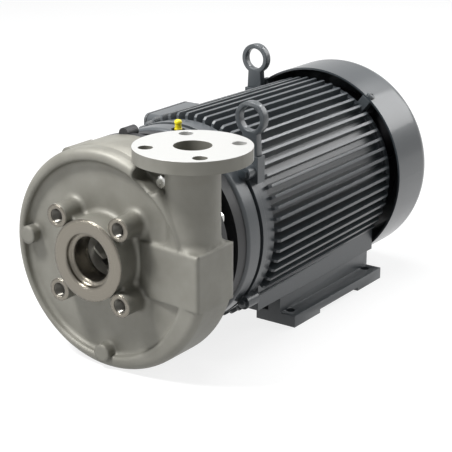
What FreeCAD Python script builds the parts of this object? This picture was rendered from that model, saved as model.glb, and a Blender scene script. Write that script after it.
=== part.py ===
import FreeCAD, Part
import math
import os

# Close-coupled centrifugal pump: a cast volute casing bolted through a bracket to a finned,
# fan-cooled electric motor that stands on two feet.
# Millimetres. The origin is the centre of the suction face, on the shaft axis.
# Y runs along the shaft from the suction face to the fan, Z is up, X is right seen from the front.

Vector = FreeCAD.Vector
ALONG = Vector(0, 1, 0)
UP = Vector(0, 0, 1)

# Clearances
fit_gap = 0.05
running_gap = 0.3
thread_gap = 0.1
seal_face_gap = 0.05

# Suction port: raised ring, four tapped bosses
suction_bore_r = 25.5
suction_recess_r = 30.5
suction_recess_depth = 7.0
suction_ring_r = 46.0
suction_bolt_circle = 120.65
suction_boss_r = 13.0
suction_boss_set_back = 1.5
suction_tap_r = 7.94
suction_tap_depth = 19.0
suction_web_width = 15.0
hub_corner_round = 6.0
hub_foot_round = 6.0
hub_plate_r = 95.0
web_set_back = 9.0

# Volute casing: a four-centre spiral scroll on a round drum
scroll_front = 23.0
scroll_top_r = 118.0
scroll_step = 7.2
scroll_round = 9.0
rim_width = 14.2
dish_centre_x = -3.0
dish_depth = 9.0
dish_floor_round = 5.0
dish_lip_round = 3.5
face_wall = 6.0
casing_wall = 8.0
channel_width = 31.0
drum_r = 121.0
drum_shoulder_round = 18.0
casing_back = 84.0
rim_boss_r = 10.3
rim_boss_height = 3.5
rim_boss_places = [(104.6, -88.2), (115.1, -179.7)]
top_boss_angle = -28.0
top_boss_y = 36.0

# Discharge: box at the throat, pipe and flange
box_overhang = 14.7
box_length = 84.7
box_front = 20.0
box_rise = 2.0
box_top = 25.0
box_bottom = -39.0
box_round = 3.0
pipe_foot_round = 8.0
pipe_inset = 31.7
pipe_y = 56.0
pipe_r = 29.5
pipe_flare = 5.0
discharge_bore_r = 20.5
discharge_face_z = 131.8
flange_r = 63.5
flange_thickness = 14.3
flange_bolt_circle = 98.4
flange_hole_r = 7.95
tongue_thickness = 4.0
throat_half_depth = 14.0
passage_round_height = 80.0

# Bolts that hold casing and bracket together
casing_bolt_circle_r = 113.0
casing_bolt_count = 12
casing_bolt_phase = 7.5
casing_bolt_r = 4.0
casing_bolt_flats = 13.0
casing_bolt_head = 5.5
casing_bolt_reach = 11.0
pocket_bolt_index = 1
pocket_sweep = 9.0
pocket_r = 8.6
pocket_floor = 48.0
pocket_bite = 5.0

# Impeller
impeller_r = 94.0
eye_bore_r = 25.8
eye_ring_r = 30.0
eye_ring_length = 11.0
shroud_thickness = 3.5
shroud_fall = 6.0
outlet_width = 10.0
back_shroud_thickness = 4.0
vane_count = 5
vane_thickness = 3.6
vane_inner_r = 18.5
vane_wrap = 118.0
hub_r = 20.0
hub_nose_r = 16.0
hub_nose_length = 9.0
hub_back_length = 14.0
wear_ring_wall = 5.5
wear_ring_length = 9.0
back_clearance = 1.5

# Casing cover and shaft seal
cover_disc_thickness = 8.0
cover_rim_r = 106.5
cover_rim_thickness = 6.0
register_r = 101.5
gasket_thickness = 1.5
seal_chamber_r = 32.0
seal_chamber_wall = 6.0
seal_end_wall = 8.0
seal_overhang = 17.0
seal_hole_r = 19.5
seat_outer_r = 24.0
seat_length = 8.0
cup_wall = 2.5
sleeve_r = 17.5
sleeve_overhang = 4.0
seal_head_r = 26.0
seal_head_length = 9.0
bellows_r = 22.0
bellows_wall = 2.0
slinger_r = 29.0
spring_wire = 2.0
spring_turns = 3.0
spring_holder_thickness = 1.0

# Bracket between casing and motor
bracket_flange_thickness = 9.0
bracket_wall_outer_r = 90.0
bracket_wall = 7.0
motor_face = 136.0
motor_flange_thickness = 16.0
bracket_front_r = 121.0
bracket_back_r = 114.0
bracket_lug_r = 6.5
bracket_lug_circle_r = 121.5
bracket_lug_angle = -6.9
bracket_lug_length = 19.0
window_count = 4
window_angle = 48.0
motor_bolt_circle_r = 103.0
motor_bolt_count = 4
motor_bolt_phase = 45.0
motor_bolt_r = 4.75
motor_bolt_flats = 14.0
motor_bolt_head = 6.4
motor_bolt_reach = 11.0
pilot_r = 95.0
pilot_height = 6.0
pilot_inner_r = 80.0

# Motor shaft
shaft_stub_r = 12.7
shaft_seal_r = 18.5
shaft_core_r = 24.0
shaft_rear_r = 19.0
fan_seat_r = 14.0

# Bearings: bore radius, outside radius, width
front_bearing = {"bore": 20.0, "outside": 40.0, "width": 18.0, "start": 156.0}
rear_bearing = {"bore": 15.0, "outside": 31.0, "width": 16.0, "start": 450.0}
ball_share = 0.3
bearing_ball_count = 8
snap_ring_thickness = 2.0
snap_ring_depth = 2.0
cage_rim = 1.5

# Motor frame and end bells
frame_front = 164.0
frame_back = 455.0
frame_r = 108.0
frame_wall = 10.0
frame_collar_height = 10.0
frame_collar_length = 8.0
band_step = 1.5
fin_height_front = 16.0
fin_height_back = 11.5
fin_start = 188.0
fin_end = 453.0
fin_chamfer = 4.0
fin_pitch = 6.0
fin_thickness_root = 5.0
fin_thickness_tip = 3.2
bell_r = 117.0
bell_round = 4.5
bell_front_wall = 16.0
bell_wall = 15.0
bell_web = 10.0
bell_groove_width = 5.0
bell_groove_depth = 3.5
bell_bolt_angles = [51.5, 128.5, -128.5, -51.5]
bell_bolt_circle_r = 123.0
bell_bolt_r = 3.0
bell_bolt_flats = 10.0
bell_bolt_head = 4.0
bell_ear_r = 8.0
bell_ear_length = 8.0
frame_ear_length = 14.0
spigot_length = 6.0
spigot_wall = 8.0
bearing_housing_wall = 8.0
bearing_shoulder_depth = 2.0
bearing_shoulder = 4.0

# Electrical parts inside the frame
core_length = 160.0
core_centre = 305.0
air_gap = 0.5
rotor_core_r = 61.5
winding_overhang = 24.0
winding_inset = 8.0
end_ring_length = 10.0

# Feet: shaft height above the floor, hole spacings
shaft_height = 133.35
foot_spacing_x = 190.5
foot_spacing_y = 177.8
foot_hole_r = 5.6
foot_front = 243.0
foot_length = 207.0
foot_outer_x = 111.0
foot_inner_x = 56.0
foot_plate_thickness = 9.5
foot_pad_thickness = 4.8
foot_pad_length = 58.0
rail_inner_x = 68.0
rail_outer_x = 95.0
rail_bottom = -97.0
rail_height = 37.0
foot_web_inset = 5.0

# Lifting eyes
eye_plate_outer_r = 19.5
eye_plate_hole_r = 13.5
eye_plate_thickness = 10.0
eye_neck_width = 22.0
eye_ring_centre_z = 135.0
front_eye_x = 93.0
front_eye_y = 176.0
front_eye_base_z = 93.0
rear_eye_x = -84.0
rear_eye_y = 446.0
rear_eye_base_z = 96.0
eye_pad_margin = 2.0
eye_pad_height = 30.0

# Conduit box on the left side of the frame
conduit_y = 300.0
conduit_length = 95.0
conduit_bottom = -18.0
conduit_height = 96.0
conduit_standoff = 10.0
conduit_depth = 36.5
conduit_wall = 4.5
conduit_round = 9.0
conduit_gasket = 1.5
conduit_cover_thickness = 6.0
conduit_entry_r = 13.5
conduit_screw_inset = 9.0
conduit_screw_r = 2.5
conduit_pad_r = 32.0
cable_hole_r = 16.0

# Fan and fan cover
cover_r = 130.0
cover_front = 457.0
cover_back = 540.0
cover_sheet = 2.5
cover_corner = 20.0
cover_screw_angles = [38.0, 142.0, -142.0, -38.0]
cover_screw_y = 463.0
cover_screw_r = 3.0
cover_screw_head_r = 5.5
cover_screw_head = 3.5
cover_lug_width = 13.0
grille_rings = 3
grille_slots = 12
grille_slot_width = 9.0
grille_pitch = 17.0
grille_inner_r = 34.0
grille_slot_angle = 22.0
fan_r = 96.0
fan_blade_count = 9
fan_blade_thickness = 3.0
fan_start = 482.0
fan_width = 30.0
fan_disc_thickness = 3.5
fan_hub_r = 24.0

# Grease nipple and its pull-off cap on the drive end bell
nipple_x = 13.0
nipple_y = 147.0
nipple_r = 3.0
nipple_length = 9.0
nipple_thread_length = 8.0
nipple_flats = 8.0
nipple_hex_height = 3.5
nipple_spot_depth = 4.0
cap_r = 4.4
cap_height = 12.0

# Derived places across the shaft
dish_r = scroll_top_r + scroll_step - rim_width
box_right = scroll_top_r + box_overhang
box_left = box_right - box_length
pipe_x = box_right - pipe_inset
frame_bore_r = frame_r - frame_wall
frame_collar_r = frame_r + frame_collar_height
fin_tip_front_r = frame_r + fin_height_front
fin_tip_back_r = frame_r + fin_height_back
winding_r = frame_bore_r - winding_inset
conduit_inner_x = -frame_r - conduit_standoff
conduit_outer_x = conduit_inner_x - conduit_depth

# Derived places along the shaft
dish_face = scroll_front + dish_depth
channel_front = dish_face + face_wall
channel_back = channel_front + channel_width
impeller_back = channel_back - back_clearance
vane_back = impeller_back - back_shroud_thickness
shroud_inner_back = vane_back - outlet_width
shroud_outer_back = shroud_inner_back - shroud_thickness
shroud_outer_front = shroud_outer_back - shroud_fall
eye_front = shroud_outer_front - eye_ring_length
hub_front = vane_back - hub_nose_length
hub_back = impeller_back + hub_back_length
cover_disc_back = channel_back + cover_disc_thickness
cover_rim_front = casing_back - cover_rim_thickness
gasket_front = cover_rim_front - gasket_thickness
bracket_flange_back = casing_back + bracket_flange_thickness
motor_flange_front = motor_face - motor_flange_thickness
seal_end = bracket_flange_back + seal_overhang
seal_wall_front = seal_end - seal_end_wall
seat_front = seal_wall_front - seal_face_gap
head_back = seat_front - seal_face_gap
sleeve_back = motor_face + sleeve_overhang
core_start = core_centre - core_length / 2
core_end = core_centre + core_length / 2
stator_bore_r = rotor_core_r + air_gap
foot_bottom = -shaft_height
foot_plate_bottom = foot_bottom + foot_pad_thickness
foot_plate_top = foot_plate_bottom + foot_plate_thickness
foot_middle = foot_front + foot_length / 2
bell_bolt_seat = frame_front - bell_ear_length
housing_back = front_bearing["start"] + front_bearing["width"] + snap_ring_thickness + 2.0
rear_bearing_end = rear_bearing["start"] + rear_bearing["width"]


def rod(radius, start, end, x=0.0, z=0.0):
    """Round bar parallel to the shaft."""
    return Part.makeCylinder(radius, end - start, Vector(x, start, z), ALONG)


def ring(outer, inner, start, end, x=0.0, z=0.0):
    """Round tube parallel to the shaft."""
    return rod(outer, start, end, x, z).cut(rod(inner, start, end, x, z))


def block(x0, x1, y0, y1, z0, z1):
    """Rectangular block between two corners."""
    return Part.makeBox(x1 - x0, y1 - y0, z1 - z0, Vector(x0, y0, z0))


def turned(profile):
    """Solid of revolution about the shaft from (y, radius) points."""
    points = [Vector(radius, y, 0) for y, radius in profile]
    face = Part.Face(Part.makePolygon(points + points[:1]))
    return face.revolve(Vector(0, 0, 0), ALONG, 360)


def fused(shapes):
    """One solid from touching or overlapping shapes."""
    return shapes[0].multiFuse(shapes[1:]).removeSplitter()


def polar(radius, degrees):
    """X and Z of a point at an angle from the top, positive towards +X."""
    angle = math.radians(degrees)
    return radius * math.sin(angle), radius * math.cos(angle)


def turned_about_shaft(shape, degrees):
    """Copy of a shape turned about the shaft, positive from the top towards +X."""
    copy = shape.copy()
    copy.rotate(Vector(0, 0, 0), ALONG, degrees)
    return copy


def hexagon(flats, start, height, x, z):
    """Hexagonal prism parallel to the shaft; a negative height goes towards the suction side."""
    corner = flats / math.sqrt(3)
    points = []
    for index in range(7):
        angle = math.radians(60 * index + 30)
        points.append(Vector(x + corner * math.cos(angle), start, z + corner * math.sin(angle)))
    return Part.Face(Part.makePolygon(points)).extrude(Vector(0, height, 0))


def hex_bolt(x, z, seat, tip, flats, shank_r, head):
    """Hexagon head bolt; the head stands on the side of the seat away from the tip."""
    sign = 1.0 if seat > tip else -1.0
    shank = rod(shank_r, min(seat, tip), max(seat, tip), x, z)
    return fused([hexagon(flats, seat, sign * head, x, z), shank])


def around(count, phase):
    """Evenly spaced angles from the top."""
    return [phase + 360.0 * index / count for index in range(count)]


def bolt_bars(circle_r, angles, radius, start, end):
    """Round bars parallel to the shaft on a circle about it."""
    bars = []
    for angle in angles:
        x, z = polar(circle_r, angle)
        bars.append(rod(radius, start, end, x, z))
    return bars


# Volute casing: cast in one piece with its suction hub, discharge box, pipe and flange

def scroll_outline(top_r, y):
    """Four-centre spiral in a plane across the shaft, widening anticlockwise seen from the front."""
    half = scroll_step / 2
    centres = [(-half, half), (-half, -half), (half, -half), (half, half)]
    edges = []
    for quarter, (centre_x, centre_z) in enumerate(centres):
        radius = top_r + half + (quarter - 1) * scroll_step
        points = []
        for share in (0.0, 0.5, 1.0):
            angle = math.radians(90 * (quarter + share))
            points.append(Vector(centre_x + radius * math.cos(angle), y,
                                 centre_z + radius * math.sin(angle)))
        edges.append(Part.Arc(*points).toShape())
    closing = Part.makeLine(edges[-1].Vertexes[-1].Point, edges[0].Vertexes[0].Point)
    return Part.Wire(edges + [closing])


def scroll_prism(top_r, start, end, right_limit):
    """Spiral prism cut off flat where the discharge box takes over."""
    prism = Part.Face(scroll_outline(top_r, start)).extrude(Vector(0, end - start, 0))
    reach = scroll_top_r + 5 * scroll_step
    return prism.cut(block(right_limit, 2 * reach, start, end, -reach, reach))


def edges_at(shape, y):
    """Edges of a shape that lie in one plane across the shaft."""
    return [edge for edge in shape.Edges
            if all(abs(vertex.Point.y - y) < 1e-6 for vertex in edge.Vertexes)]


def corner_arc(start, end, centre):
    """Quarter arc between two points of a section, bulging away from its centre."""
    radius = (start - centre).Length
    middle = centre + ((start + end) / 2 - centre).normalize() * radius
    return Part.Arc(start, middle, end).toShape()


def dish_hollow():
    """Round bowl that is cut from the front of the scroll, with a rounded lip and floor edge."""
    lip_start = Vector(dish_r + dish_lip_round, scroll_front, 0)
    lip_end = Vector(dish_r, scroll_front + dish_lip_round, 0)
    lip_centre = Vector(dish_r + dish_lip_round, scroll_front + dish_lip_round, 0)
    floor_start = Vector(dish_r, dish_face - dish_floor_round, 0)
    floor_end = Vector(dish_r - dish_floor_round, dish_face, 0)
    floor_centre = Vector(dish_r - dish_floor_round, dish_face - dish_floor_round, 0)
    edges = [Part.makeLine(Vector(0, scroll_front, 0), lip_start),
             corner_arc(lip_start, lip_end, lip_centre), Part.makeLine(lip_end, floor_start),
             corner_arc(floor_start, floor_end, floor_centre),
             Part.makeLine(floor_end, Vector(0, dish_face, 0)),
             Part.makeLine(Vector(0, dish_face, 0), Vector(0, scroll_front, 0))]
    bowl = Part.Face(Part.Wire(edges)).revolve(Vector(0, 0, 0), ALONG, 360)
    bowl.translate(Vector(dish_centre_x, 0, -scroll_step))
    return bowl


def scroll_body():
    """Spiral rim with a rounded front edge and a dished face."""
    body = scroll_prism(scroll_top_r, scroll_front, channel_back + casing_wall, box_right)
    body = body.makeFillet(scroll_round, edges_at(body, scroll_front))
    return body.cut(dish_hollow())


def drum_body():
    """Round drum behind the scroll, with a wide rounded shoulder and the bolting face."""
    back_of_round = dish_face + drum_shoulder_round
    inner = drum_r - drum_shoulder_round
    low = Vector(inner, dish_face, 0)
    high = Vector(drum_r, back_of_round, 0)
    slant = drum_shoulder_round * math.sqrt(0.5)
    middle = Vector(inner + slant, back_of_round - slant, 0)
    edges = [Part.makeLine(Vector(0, dish_face, 0), low),
             Part.Arc(low, middle, high).toShape(),
             Part.makeLine(high, Vector(drum_r, casing_back, 0)),
             Part.makeLine(Vector(drum_r, casing_back, 0), Vector(0, casing_back, 0)),
             Part.makeLine(Vector(0, casing_back, 0), Vector(0, dish_face, 0))]
    return Part.Face(Part.Wire(edges)).revolve(Vector(0, 0, 0), ALONG, 360)


def hub_outline():
    """Ring, bosses and webs seen along the shaft, with rounded inner corners."""
    pieces = [rod(suction_ring_r, dish_face, dish_face + 1)]
    for angle in around(4, 45):
        x, z = polar(suction_bolt_circle / 2, angle)
        pieces.append(rod(suction_boss_r, dish_face, dish_face + 1, x, z))
        web = block(-suction_web_width / 2, suction_web_width / 2, dish_face, dish_face + 1,
                    0, suction_bolt_circle / 2)
        pieces.append(turned_about_shaft(web, angle))
    slab = fused(pieces)
    outline = [face for face in slab.Faces if abs(face.CenterOfMass.y - dish_face) < 1e-6][0]
    return outline.makeOffset2D(hub_corner_round).makeOffset2D(-hub_corner_round)


def suction_hub():
    """Raised ring with four bosses on webs that flow into the dished face."""
    web_front = suction_boss_set_back + web_set_back
    webs = hub_outline()
    webs.translate(Vector(0, web_front - dish_face, 0))
    webs = webs.extrude(Vector(0, dish_face + face_wall / 2 - web_front, 0))
    plate = rod(hub_plate_r, dish_face, dish_face + face_wall / 2)
    foot = fused([webs, plate])
    corners = [edge for edge in edges_at(foot, dish_face) if edge.distToShape(webs)[0] < 1e-3]
    foot = foot.makeFillet(hub_foot_round, corners)
    pieces = [foot, rod(suction_ring_r, 0, dish_face)]
    for angle in around(4, 45):
        x, z = polar(suction_bolt_circle / 2, angle)
        pieces.append(rod(suction_boss_r, suction_boss_set_back, dish_face, x, z))
    return fused(pieces)


def pipe_foot():
    """Hollow fillet between the discharge pipe and the top of its box, about the pipe's axis."""
    outer = Vector(pipe_r + pipe_foot_round, 0, box_top)
    upper = Vector(pipe_r, 0, box_top + pipe_foot_round)
    centre = Vector(pipe_r + pipe_foot_round, 0, box_top + pipe_foot_round)
    inner_r = pipe_r - casing_wall / 2
    low = box_top - box_round
    edges = [corner_arc(outer, upper, centre), Part.makeLine(upper, Vector(inner_r, 0, upper.z)),
             Part.makeLine(Vector(inner_r, 0, upper.z), Vector(inner_r, 0, low)),
             Part.makeLine(Vector(inner_r, 0, low), Vector(outer.x, 0, low)),
             Part.makeLine(Vector(outer.x, 0, low), outer)]
    foot = Part.Face(Part.Wire(edges)).revolve(Vector(0, 0, 0), UP, 360)
    foot.translate(Vector(pipe_x, pipe_y, 0))
    return foot


def discharge_body():
    """Box over the throat that rises out of the dish, the discharge pipe and its round flange."""
    corners = [Vector(box_left, dish_face - box_rise, box_bottom), Vector(box_right, box_front, box_bottom),
               Vector(box_right, casing_back, box_bottom), Vector(box_left, casing_back, box_bottom)]
    outline = Part.Face(Part.makePolygon(corners + corners[:1]))
    box = outline.extrude(Vector(0, 0, box_top - box_bottom))
    front_edges = [edge for edge in box.Edges
                   if all(vertex.Point.y < dish_face + 1e-6 for vertex in edge.Vertexes)]
    box = box.makeFillet(box_round, front_edges)
    ledge = outline.makeOffset2D(-box_round).extrude(Vector(0, 0, box_top + pipe_foot_round - box_bottom))
    flange_under = discharge_face_z - flange_thickness
    pipe_start = box_top - box_round
    pipe = Part.makeCylinder(pipe_r, flange_under - pipe_start, Vector(pipe_x, pipe_y, pipe_start), UP)
    flare = Part.makeCone(pipe_r, pipe_r + pipe_flare, pipe_flare,
                          Vector(pipe_x, pipe_y, flange_under - pipe_flare), UP)
    flange = Part.makeCylinder(flange_r, flange_thickness, Vector(pipe_x, pipe_y, flange_under), UP)
    return fused([box, pipe_foot().common(ledge), pipe, flare, flange])


def rim_bosses():
    """Small round cast bosses on the rim of the scroll."""
    bosses = []
    for radius, angle in rim_boss_places:
        x, z = polar(radius, angle)
        bosses.append(rod(rim_boss_r, scroll_front - rim_boss_height, channel_front, x, z))
    x, z = polar(drum_r - rim_boss_r + 2, top_boss_angle)
    bosses.append(rod(rim_boss_r, top_boss_y, casing_back - casing_wall, x, z))
    return bosses


def discharge_passage():
    """Waterway from the narrow throat beside the tongue up to the round flange bore."""
    inside_right = box_right - casing_wall
    throat_left = scroll_top_r - casing_wall - scroll_step + tongue_thickness
    half_width = (inside_right - throat_left) / 2
    throat_x = (inside_right + throat_left) / 2
    throat_y = channel_front + channel_width / 2
    throat_z = 0.0
    centre = Vector(throat_x, throat_y, throat_z)
    throat = Part.Ellipse(centre + Vector(0, throat_half_depth, 0),
                          centre + Vector(-half_width, 0, 0), centre).toShape()
    top = Part.makeCircle(discharge_bore_r, Vector(pipe_x, pipe_y, passage_round_height), UP)
    top.rotate(Vector(pipe_x, pipe_y, passage_round_height), UP, 90)
    passage = Part.makeLoft([Part.Wire([throat]), Part.Wire([top])], True)
    bore = Part.makeCylinder(discharge_bore_r, discharge_face_z - passage_round_height,
                             Vector(pipe_x, pipe_y, passage_round_height), UP)
    return fused([passage, bore])


def casing_bolt_places():
    """X and Z of every casing bolt, the pocket bolt last."""
    angles = around(casing_bolt_count, casing_bolt_phase)
    pocket = angles.pop(pocket_bolt_index)
    return [polar(casing_bolt_circle_r, angle) for angle in angles + [pocket]]


def pocket_slot(radius, start, end):
    """Slot with round ends in front of the pocket bolt, running from it towards the top."""
    pocket_bolt_angle = casing_bolt_phase + 360.0 / casing_bolt_count * pocket_bolt_index
    pieces = bolt_bars(casing_bolt_circle_r, (pocket_bolt_angle, pocket_bolt_angle - pocket_sweep),
                       radius, start, end)
    half_length, middle = polar(casing_bolt_circle_r, pocket_sweep / 2)
    between = block(-half_length, half_length, start, end, middle - radius, middle + radius)
    pieces.append(turned_about_shaft(between, pocket_bolt_angle - pocket_sweep / 2))
    return fused(pieces)


def volute_casing():
    """The whole casting, machined."""
    casting = fused([drum_body(), scroll_body(), suction_hub(), discharge_body()] + rim_bosses())
    wear_seat_r = eye_ring_r + running_gap + wear_ring_wall + fit_gap
    channel = scroll_prism(scroll_top_r - casing_wall, channel_front, channel_back,
                           box_right - casing_wall)
    tongue = pocket_slot(pocket_r + tongue_thickness, channel_front, channel_back)
    waterways = [channel.cut(tongue), discharge_passage()]
    eye_stub_r = wear_seat_r + casing_wall / 2
    eye_stub = ring(eye_stub_r, wear_seat_r, channel_front - 1, eye_front + wear_ring_length + 1)
    casting = fused([casting.cut(waterways), eye_stub])
    bores = [rod(suction_bore_r, 0, channel_back),
             rod(suction_recess_r, 0, suction_recess_depth),
             rod(wear_seat_r, eye_front - 1, channel_back),
             rod(register_r + fit_gap, channel_back - 1, casing_back),
             rod(cover_rim_r + fit_gap, gasket_front, casing_back),
             rod(bracket_front_r + running_gap, casing_back, bracket_flange_back)]
    for angle in around(4, 45):
        x, z = polar(suction_bolt_circle / 2, angle)
        bores.append(rod(suction_tap_r, suction_boss_set_back,
                         suction_boss_set_back + suction_tap_depth, x, z))
        hole_x = pipe_x + flange_bolt_circle / 2 * math.sin(math.radians(angle))
        hole_y = pipe_y + flange_bolt_circle / 2 * math.cos(math.radians(angle))
        bores.append(Part.makeCylinder(flange_hole_r, flange_thickness,
                                       Vector(hole_x, hole_y, discharge_face_z - flange_thickness), UP))
    places = casing_bolt_places()
    for x, z in places[:-1]:
        bores.append(rod(casing_bolt_r + thread_gap, casing_back - casing_bolt_reach, casing_back, x, z))
    x, z = places[-1]
    bores.append(rod(casing_bolt_r + thread_gap, pocket_floor, casing_back, x, z))
    pipe_skin = Part.makeCylinder(pipe_r - pocket_bite, discharge_face_z, Vector(pipe_x, pipe_y, 0), UP)
    bores.append(pocket_slot(pocket_r, scroll_front, pocket_floor).cut(pipe_skin))
    return casting.cut(bores)


def casing_wear_ring():
    """Renewable ring that the impeller's eye runs in."""
    inner = eye_ring_r + running_gap
    return ring(inner + wear_ring_wall, inner, eye_front - 1, eye_front + wear_ring_length)


def casing_bolts():
    """Hexagon bolts through the bracket flange, and one through bolt in the pocket by the pipe."""
    places = casing_bolt_places()
    tip = casing_back - casing_bolt_reach + thread_gap
    bolts = [hex_bolt(x, z, bracket_flange_back, tip, casing_bolt_flats, casing_bolt_r, casing_bolt_head)
             for x, z in places[:-1]]
    x, z = places[-1]
    through = hex_bolt(x, z, pocket_floor, bracket_flange_back + casing_bolt_head,
                       casing_bolt_flats, casing_bolt_r, casing_bolt_head)
    nut = hexagon(casing_bolt_flats, bracket_flange_back, casing_bolt_head, x, z)
    bolts.append(fused([through, nut]))
    return Part.makeCompound(bolts)


# Impeller: closed, backward-curved vanes between two shrouds

def vane_point(radius, side, start, y):
    """Point on one face of a vane that follows a logarithmic spiral."""
    spread = math.log(impeller_r / vane_inner_r)
    wrap = math.radians(vane_wrap)
    slope = math.atan2(spread, wrap)
    angle = start - wrap * math.log(radius / vane_inner_r) / spread
    angle += side * vane_thickness / (2 * radius * math.sin(slope))
    return Vector(radius * math.cos(angle), y, radius * math.sin(angle))


def vane(start, y):
    """One vane as a prism, longer than the passage and trimmed later."""
    middle_r = math.sqrt(vane_inner_r * impeller_r)
    ahead = [vane_point(radius, 1, start, y) for radius in (vane_inner_r, middle_r, impeller_r)]
    behind = [vane_point(radius, -1, start, y) for radius in (impeller_r, middle_r, vane_inner_r)]
    edges = [Part.Arc(*ahead).toShape(), Part.makeLine(ahead[2], behind[0]),
             Part.Arc(*behind).toShape(), Part.makeLine(behind[2], ahead[0])]
    return Part.Face(Part.Wire(edges)).extrude(Vector(0, vane_back + 1 - y, 0))


def impeller():
    """Front shroud with its eye ring, vanes, back shroud and hub as one casting."""
    front_shroud = turned([(eye_front, eye_bore_r), (eye_front, eye_ring_r),
                           (shroud_outer_front, eye_ring_r), (shroud_outer_back, impeller_r),
                           (shroud_inner_back, impeller_r),
                           (shroud_outer_front + shroud_thickness, eye_bore_r)])
    back_shroud = turned([(hub_front, 0), (hub_front, hub_nose_r), (vane_back - 2, hub_r),
                          (vane_back, hub_r + 4), (vane_back, impeller_r),
                          (impeller_back, impeller_r), (impeller_back, hub_r + 3),
                          (impeller_back + 3, hub_r), (hub_back, hub_r), (hub_back, 0)])
    envelope = turned([(shroud_outer_front - 2, 0), (shroud_outer_front - 2, eye_bore_r + 1),
                       (shroud_outer_front + 2, eye_bore_r + 1), (shroud_outer_back + 2, impeller_r),
                       (impeller_back, impeller_r), (impeller_back, 0)])
    step = 2 * math.pi / vane_count
    vanes = [vane(index * step, shroud_outer_front - 5).common(envelope) for index in range(vane_count)]
    body = fused([front_shroud, back_shroud] + vanes)
    body = body.cut(rod(shaft_stub_r + fit_gap, hub_front, hub_back))
    return body.cut(key_block(fit_gap))


def key_block(gap):
    """Square key between shaft stub and impeller, enlarged by a gap for its keyway."""
    half = 3.0 + gap
    return block(-half, half, hub_front + 6 - gap, hub_back - 6 + gap,
                 shaft_stub_r - half, shaft_stub_r + half)


def impeller_washer():
    return ring(hub_nose_r - 1, 5 + thread_gap, hub_front - 3, hub_front)


def impeller_bolt():
    return hex_bolt(0, 0, hub_front - 3, hub_front + 22, 16.0, 5.0, 6.5)


# Casing cover, gasket and shaft seal

def casing_cover():
    """Cover that closes the casing and carries the seal chamber in a pocket towards the motor."""
    chamber_outer = seal_chamber_r + seal_chamber_wall
    cup_r = seat_outer_r + cup_wall + fit_gap
    return turned([(channel_back, seal_chamber_r), (channel_back, register_r),
                   (cover_rim_front, register_r), (cover_rim_front, cover_rim_r),
                   (casing_back, cover_rim_r), (casing_back, register_r - 6),
                   (cover_disc_back, register_r - 10), (cover_disc_back, chamber_outer + 3),
                   (cover_disc_back + 3, chamber_outer), (seal_end, chamber_outer),
                   (seal_end, seal_hole_r), (seal_wall_front + seat_length - 2, seal_hole_r),
                   (seal_wall_front + seat_length - 2, cup_r), (seal_wall_front, cup_r),
                   (seal_wall_front, seal_chamber_r)])


def casing_gasket():
    return ring(cover_rim_r - fit_gap, register_r + 2 * fit_gap, gasket_front, cover_rim_front)


def seal_seat_cup():
    """Rubber cup that holds the stationary seat in the cover."""
    back = seal_wall_front + seat_length - 2
    return turned([(seal_wall_front, seat_outer_r), (seal_wall_front, seat_outer_r + cup_wall),
                   (back, seat_outer_r + cup_wall), (back, seal_hole_r + 1),
                   (back - cup_wall, seal_hole_r + 1), (back - cup_wall, seat_outer_r)])


def seal_seat():
    back = seal_wall_front + seat_length - 2 - cup_wall
    return ring(seat_outer_r - fit_gap, seal_hole_r - 0.5, seat_front, back)


def seal_head():
    """Rotating carbon ring in its retainer."""
    start = head_back - seal_head_length
    return turned([(start, bellows_r + fit_gap), (start, seal_head_r), (head_back - 3, seal_head_r),
                   (head_back - 3, seal_head_r - 3), (head_back, seal_head_r - 3),
                   (head_back, sleeve_r + fit_gap), (head_back - 5, sleeve_r + fit_gap),
                   (head_back - 5, bellows_r + fit_gap)])


def seal_bellows():
    """Rubber bellows that grips the sleeve and seals the head to it."""
    start = hub_back + 4
    back = head_back - 5
    grip = sleeve_r + fit_gap
    return turned([(start, grip), (start, grip + bellows_wall), (back - 4, grip + bellows_wall),
                   (back - 4, bellows_r), (back, bellows_r), (back, grip)])


def seal_spring():
    """Coil spring of square wire that pushes the seal head against its seat."""
    start = hub_back + spring_holder_thickness + spring_wire / 2
    length = head_back - seal_head_length - spring_wire / 2 - start
    coil_r = bellows_r + fit_gap + spring_wire / 2
    half = spring_wire / 2
    helix = Part.makeHelix(length / spring_turns, length, coil_r)
    corners = [Vector(coil_r + half, 0, half), Vector(coil_r - half, 0, half),
               Vector(coil_r - half, 0, -half), Vector(coil_r + half, 0, -half)]
    section = Part.makePolygon(corners + corners[:1])
    coil = Part.Wire(helix).makePipeShell([section], True, True)
    coil.rotate(Vector(0, 0, 0), Vector(1, 0, 0), -90)
    coil.translate(Vector(0, start, 0))
    return coil


def spring_holder():
    """Pressed disc between impeller hub and spring."""
    return ring(bellows_r + spring_wire + 1, sleeve_r + fit_gap, hub_back, hub_back + spring_holder_thickness)


def shaft_sleeve():
    return ring(sleeve_r, shaft_stub_r + fit_gap, hub_back, sleeve_back)


def slinger():
    """Rubber ring that throws leaked drops off the shaft before they reach the bearing."""
    start = seal_end + 4
    grip = sleeve_r + fit_gap
    return turned([(start, grip), (start, slinger_r - 5), (start + 1, slinger_r), (start + 3, slinger_r),
                   (start + 3, slinger_r - 5), (start + 5, slinger_r - 7), (start + 5, grip)])


# Bracket between casing and motor

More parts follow.
